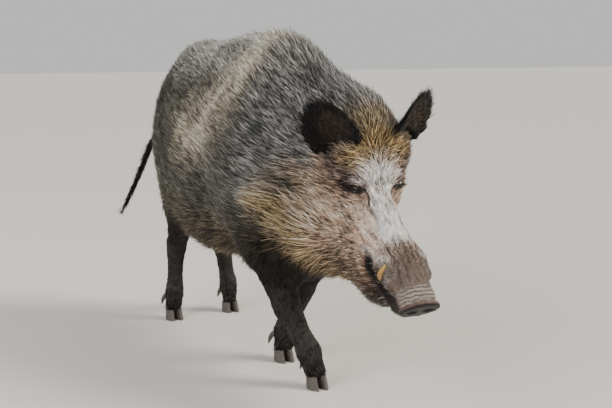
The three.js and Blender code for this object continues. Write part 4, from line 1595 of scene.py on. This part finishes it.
class OBJECT_OT_boar_hide(BoarOperator, bpy.types.Operator):
    """Build the hide over all flesh, with folds, lips and eyelids"""

    bl_idname = "object.boar_hide"
    bl_label = "Hide"

    def build(self, props):
        build_hide(props)


class OBJECT_OT_boar_coat(BoarOperator, bpy.types.Operator):
    """Grow the bristles on the hide"""

    bl_idname = "object.boar_coat"
    bl_label = "Coat"

    def build(self, props):
        build_coat(props)


class OBJECT_OT_boar_whiskers(BoarOperator, bpy.types.Operator):
    """Set the lashes and the whiskers of the jaw"""

    bl_idname = "object.boar_whiskers"
    bl_label = "Lashes and whiskers"

    def build(self, props):
        build_lashes(props)
        build_whiskers(props)


class OBJECT_OT_boar_eyes(BoarOperator, bpy.types.Operator):
    """Set both eyeballs"""

    bl_idname = "object.boar_eyes"
    bl_label = "Eyes"

    def build(self, props):
        for name, side in SIDES.items():
            build_eye("eye_" + name, side)


class OBJECT_OT_boar_tusks(BoarOperator, bpy.types.Operator):
    """Set both lower tusks"""

    bl_idname = "object.boar_tusks"
    bl_label = "Tusks"

    def build(self, props):
        for name, side in SIDES.items():
            build_tusk("tusk_" + name, side)


class OBJECT_OT_boar_hooves(BoarOperator, bpy.types.Operator):
    """Finish the hooves and dewclaws in horn"""

    bl_idname = "object.boar_hooves"
    bl_label = "Hooves"

    def build(self, props):
        build_hooves()


class SCENE_OT_boar_stage(BoarOperator, bpy.types.Operator):
    """Set floor, lights and camera"""

    bl_idname = "scene.boar_stage"
    bl_label = "Stage"

    def build(self, props):
        build_stage(props)


STEPS = (
    OBJECT_OT_boar_hide,
    OBJECT_OT_boar_coat,
    OBJECT_OT_boar_whiskers,
    OBJECT_OT_boar_eyes,
    OBJECT_OT_boar_tusks,
    OBJECT_OT_boar_hooves,
    SCENE_OT_boar_stage,
)


class VIEW3D_PT_boar(bpy.types.Panel):
    """The boar's sizes and the steps that build it"""

    bl_label = "Wild Boar"
    bl_space_type = "VIEW_3D"
    bl_region_type = "UI"
    bl_category = "Boar"

    def draw(self, context):
        for name in BoarProperties.__annotations__:
            self.layout.prop(context.scene.boar, name)
        for one in STEPS:
            self.layout.operator(one.bl_idname)


def register():
    for one in (BoarProperties, *STEPS, VIEW3D_PT_boar):
        bpy.utils.register_class(one)
    bpy.types.Scene.boar = PointerProperty(type=BoarProperties)


def unregister():
    del bpy.types.Scene.boar
    for one in (VIEW3D_PT_boar, *reversed(STEPS), BoarProperties):
        bpy.utils.unregister_class(one)


def main():
    register()
    bpy.ops.object.boar_hide()
    bpy.ops.object.boar_coat()
    bpy.ops.object.boar_whiskers()
    bpy.ops.object.boar_eyes()
    bpy.ops.object.boar_tusks()
    bpy.ops.object.boar_hooves()
    bpy.ops.scene.boar_stage()


if __name__ == "__main__":
    main()
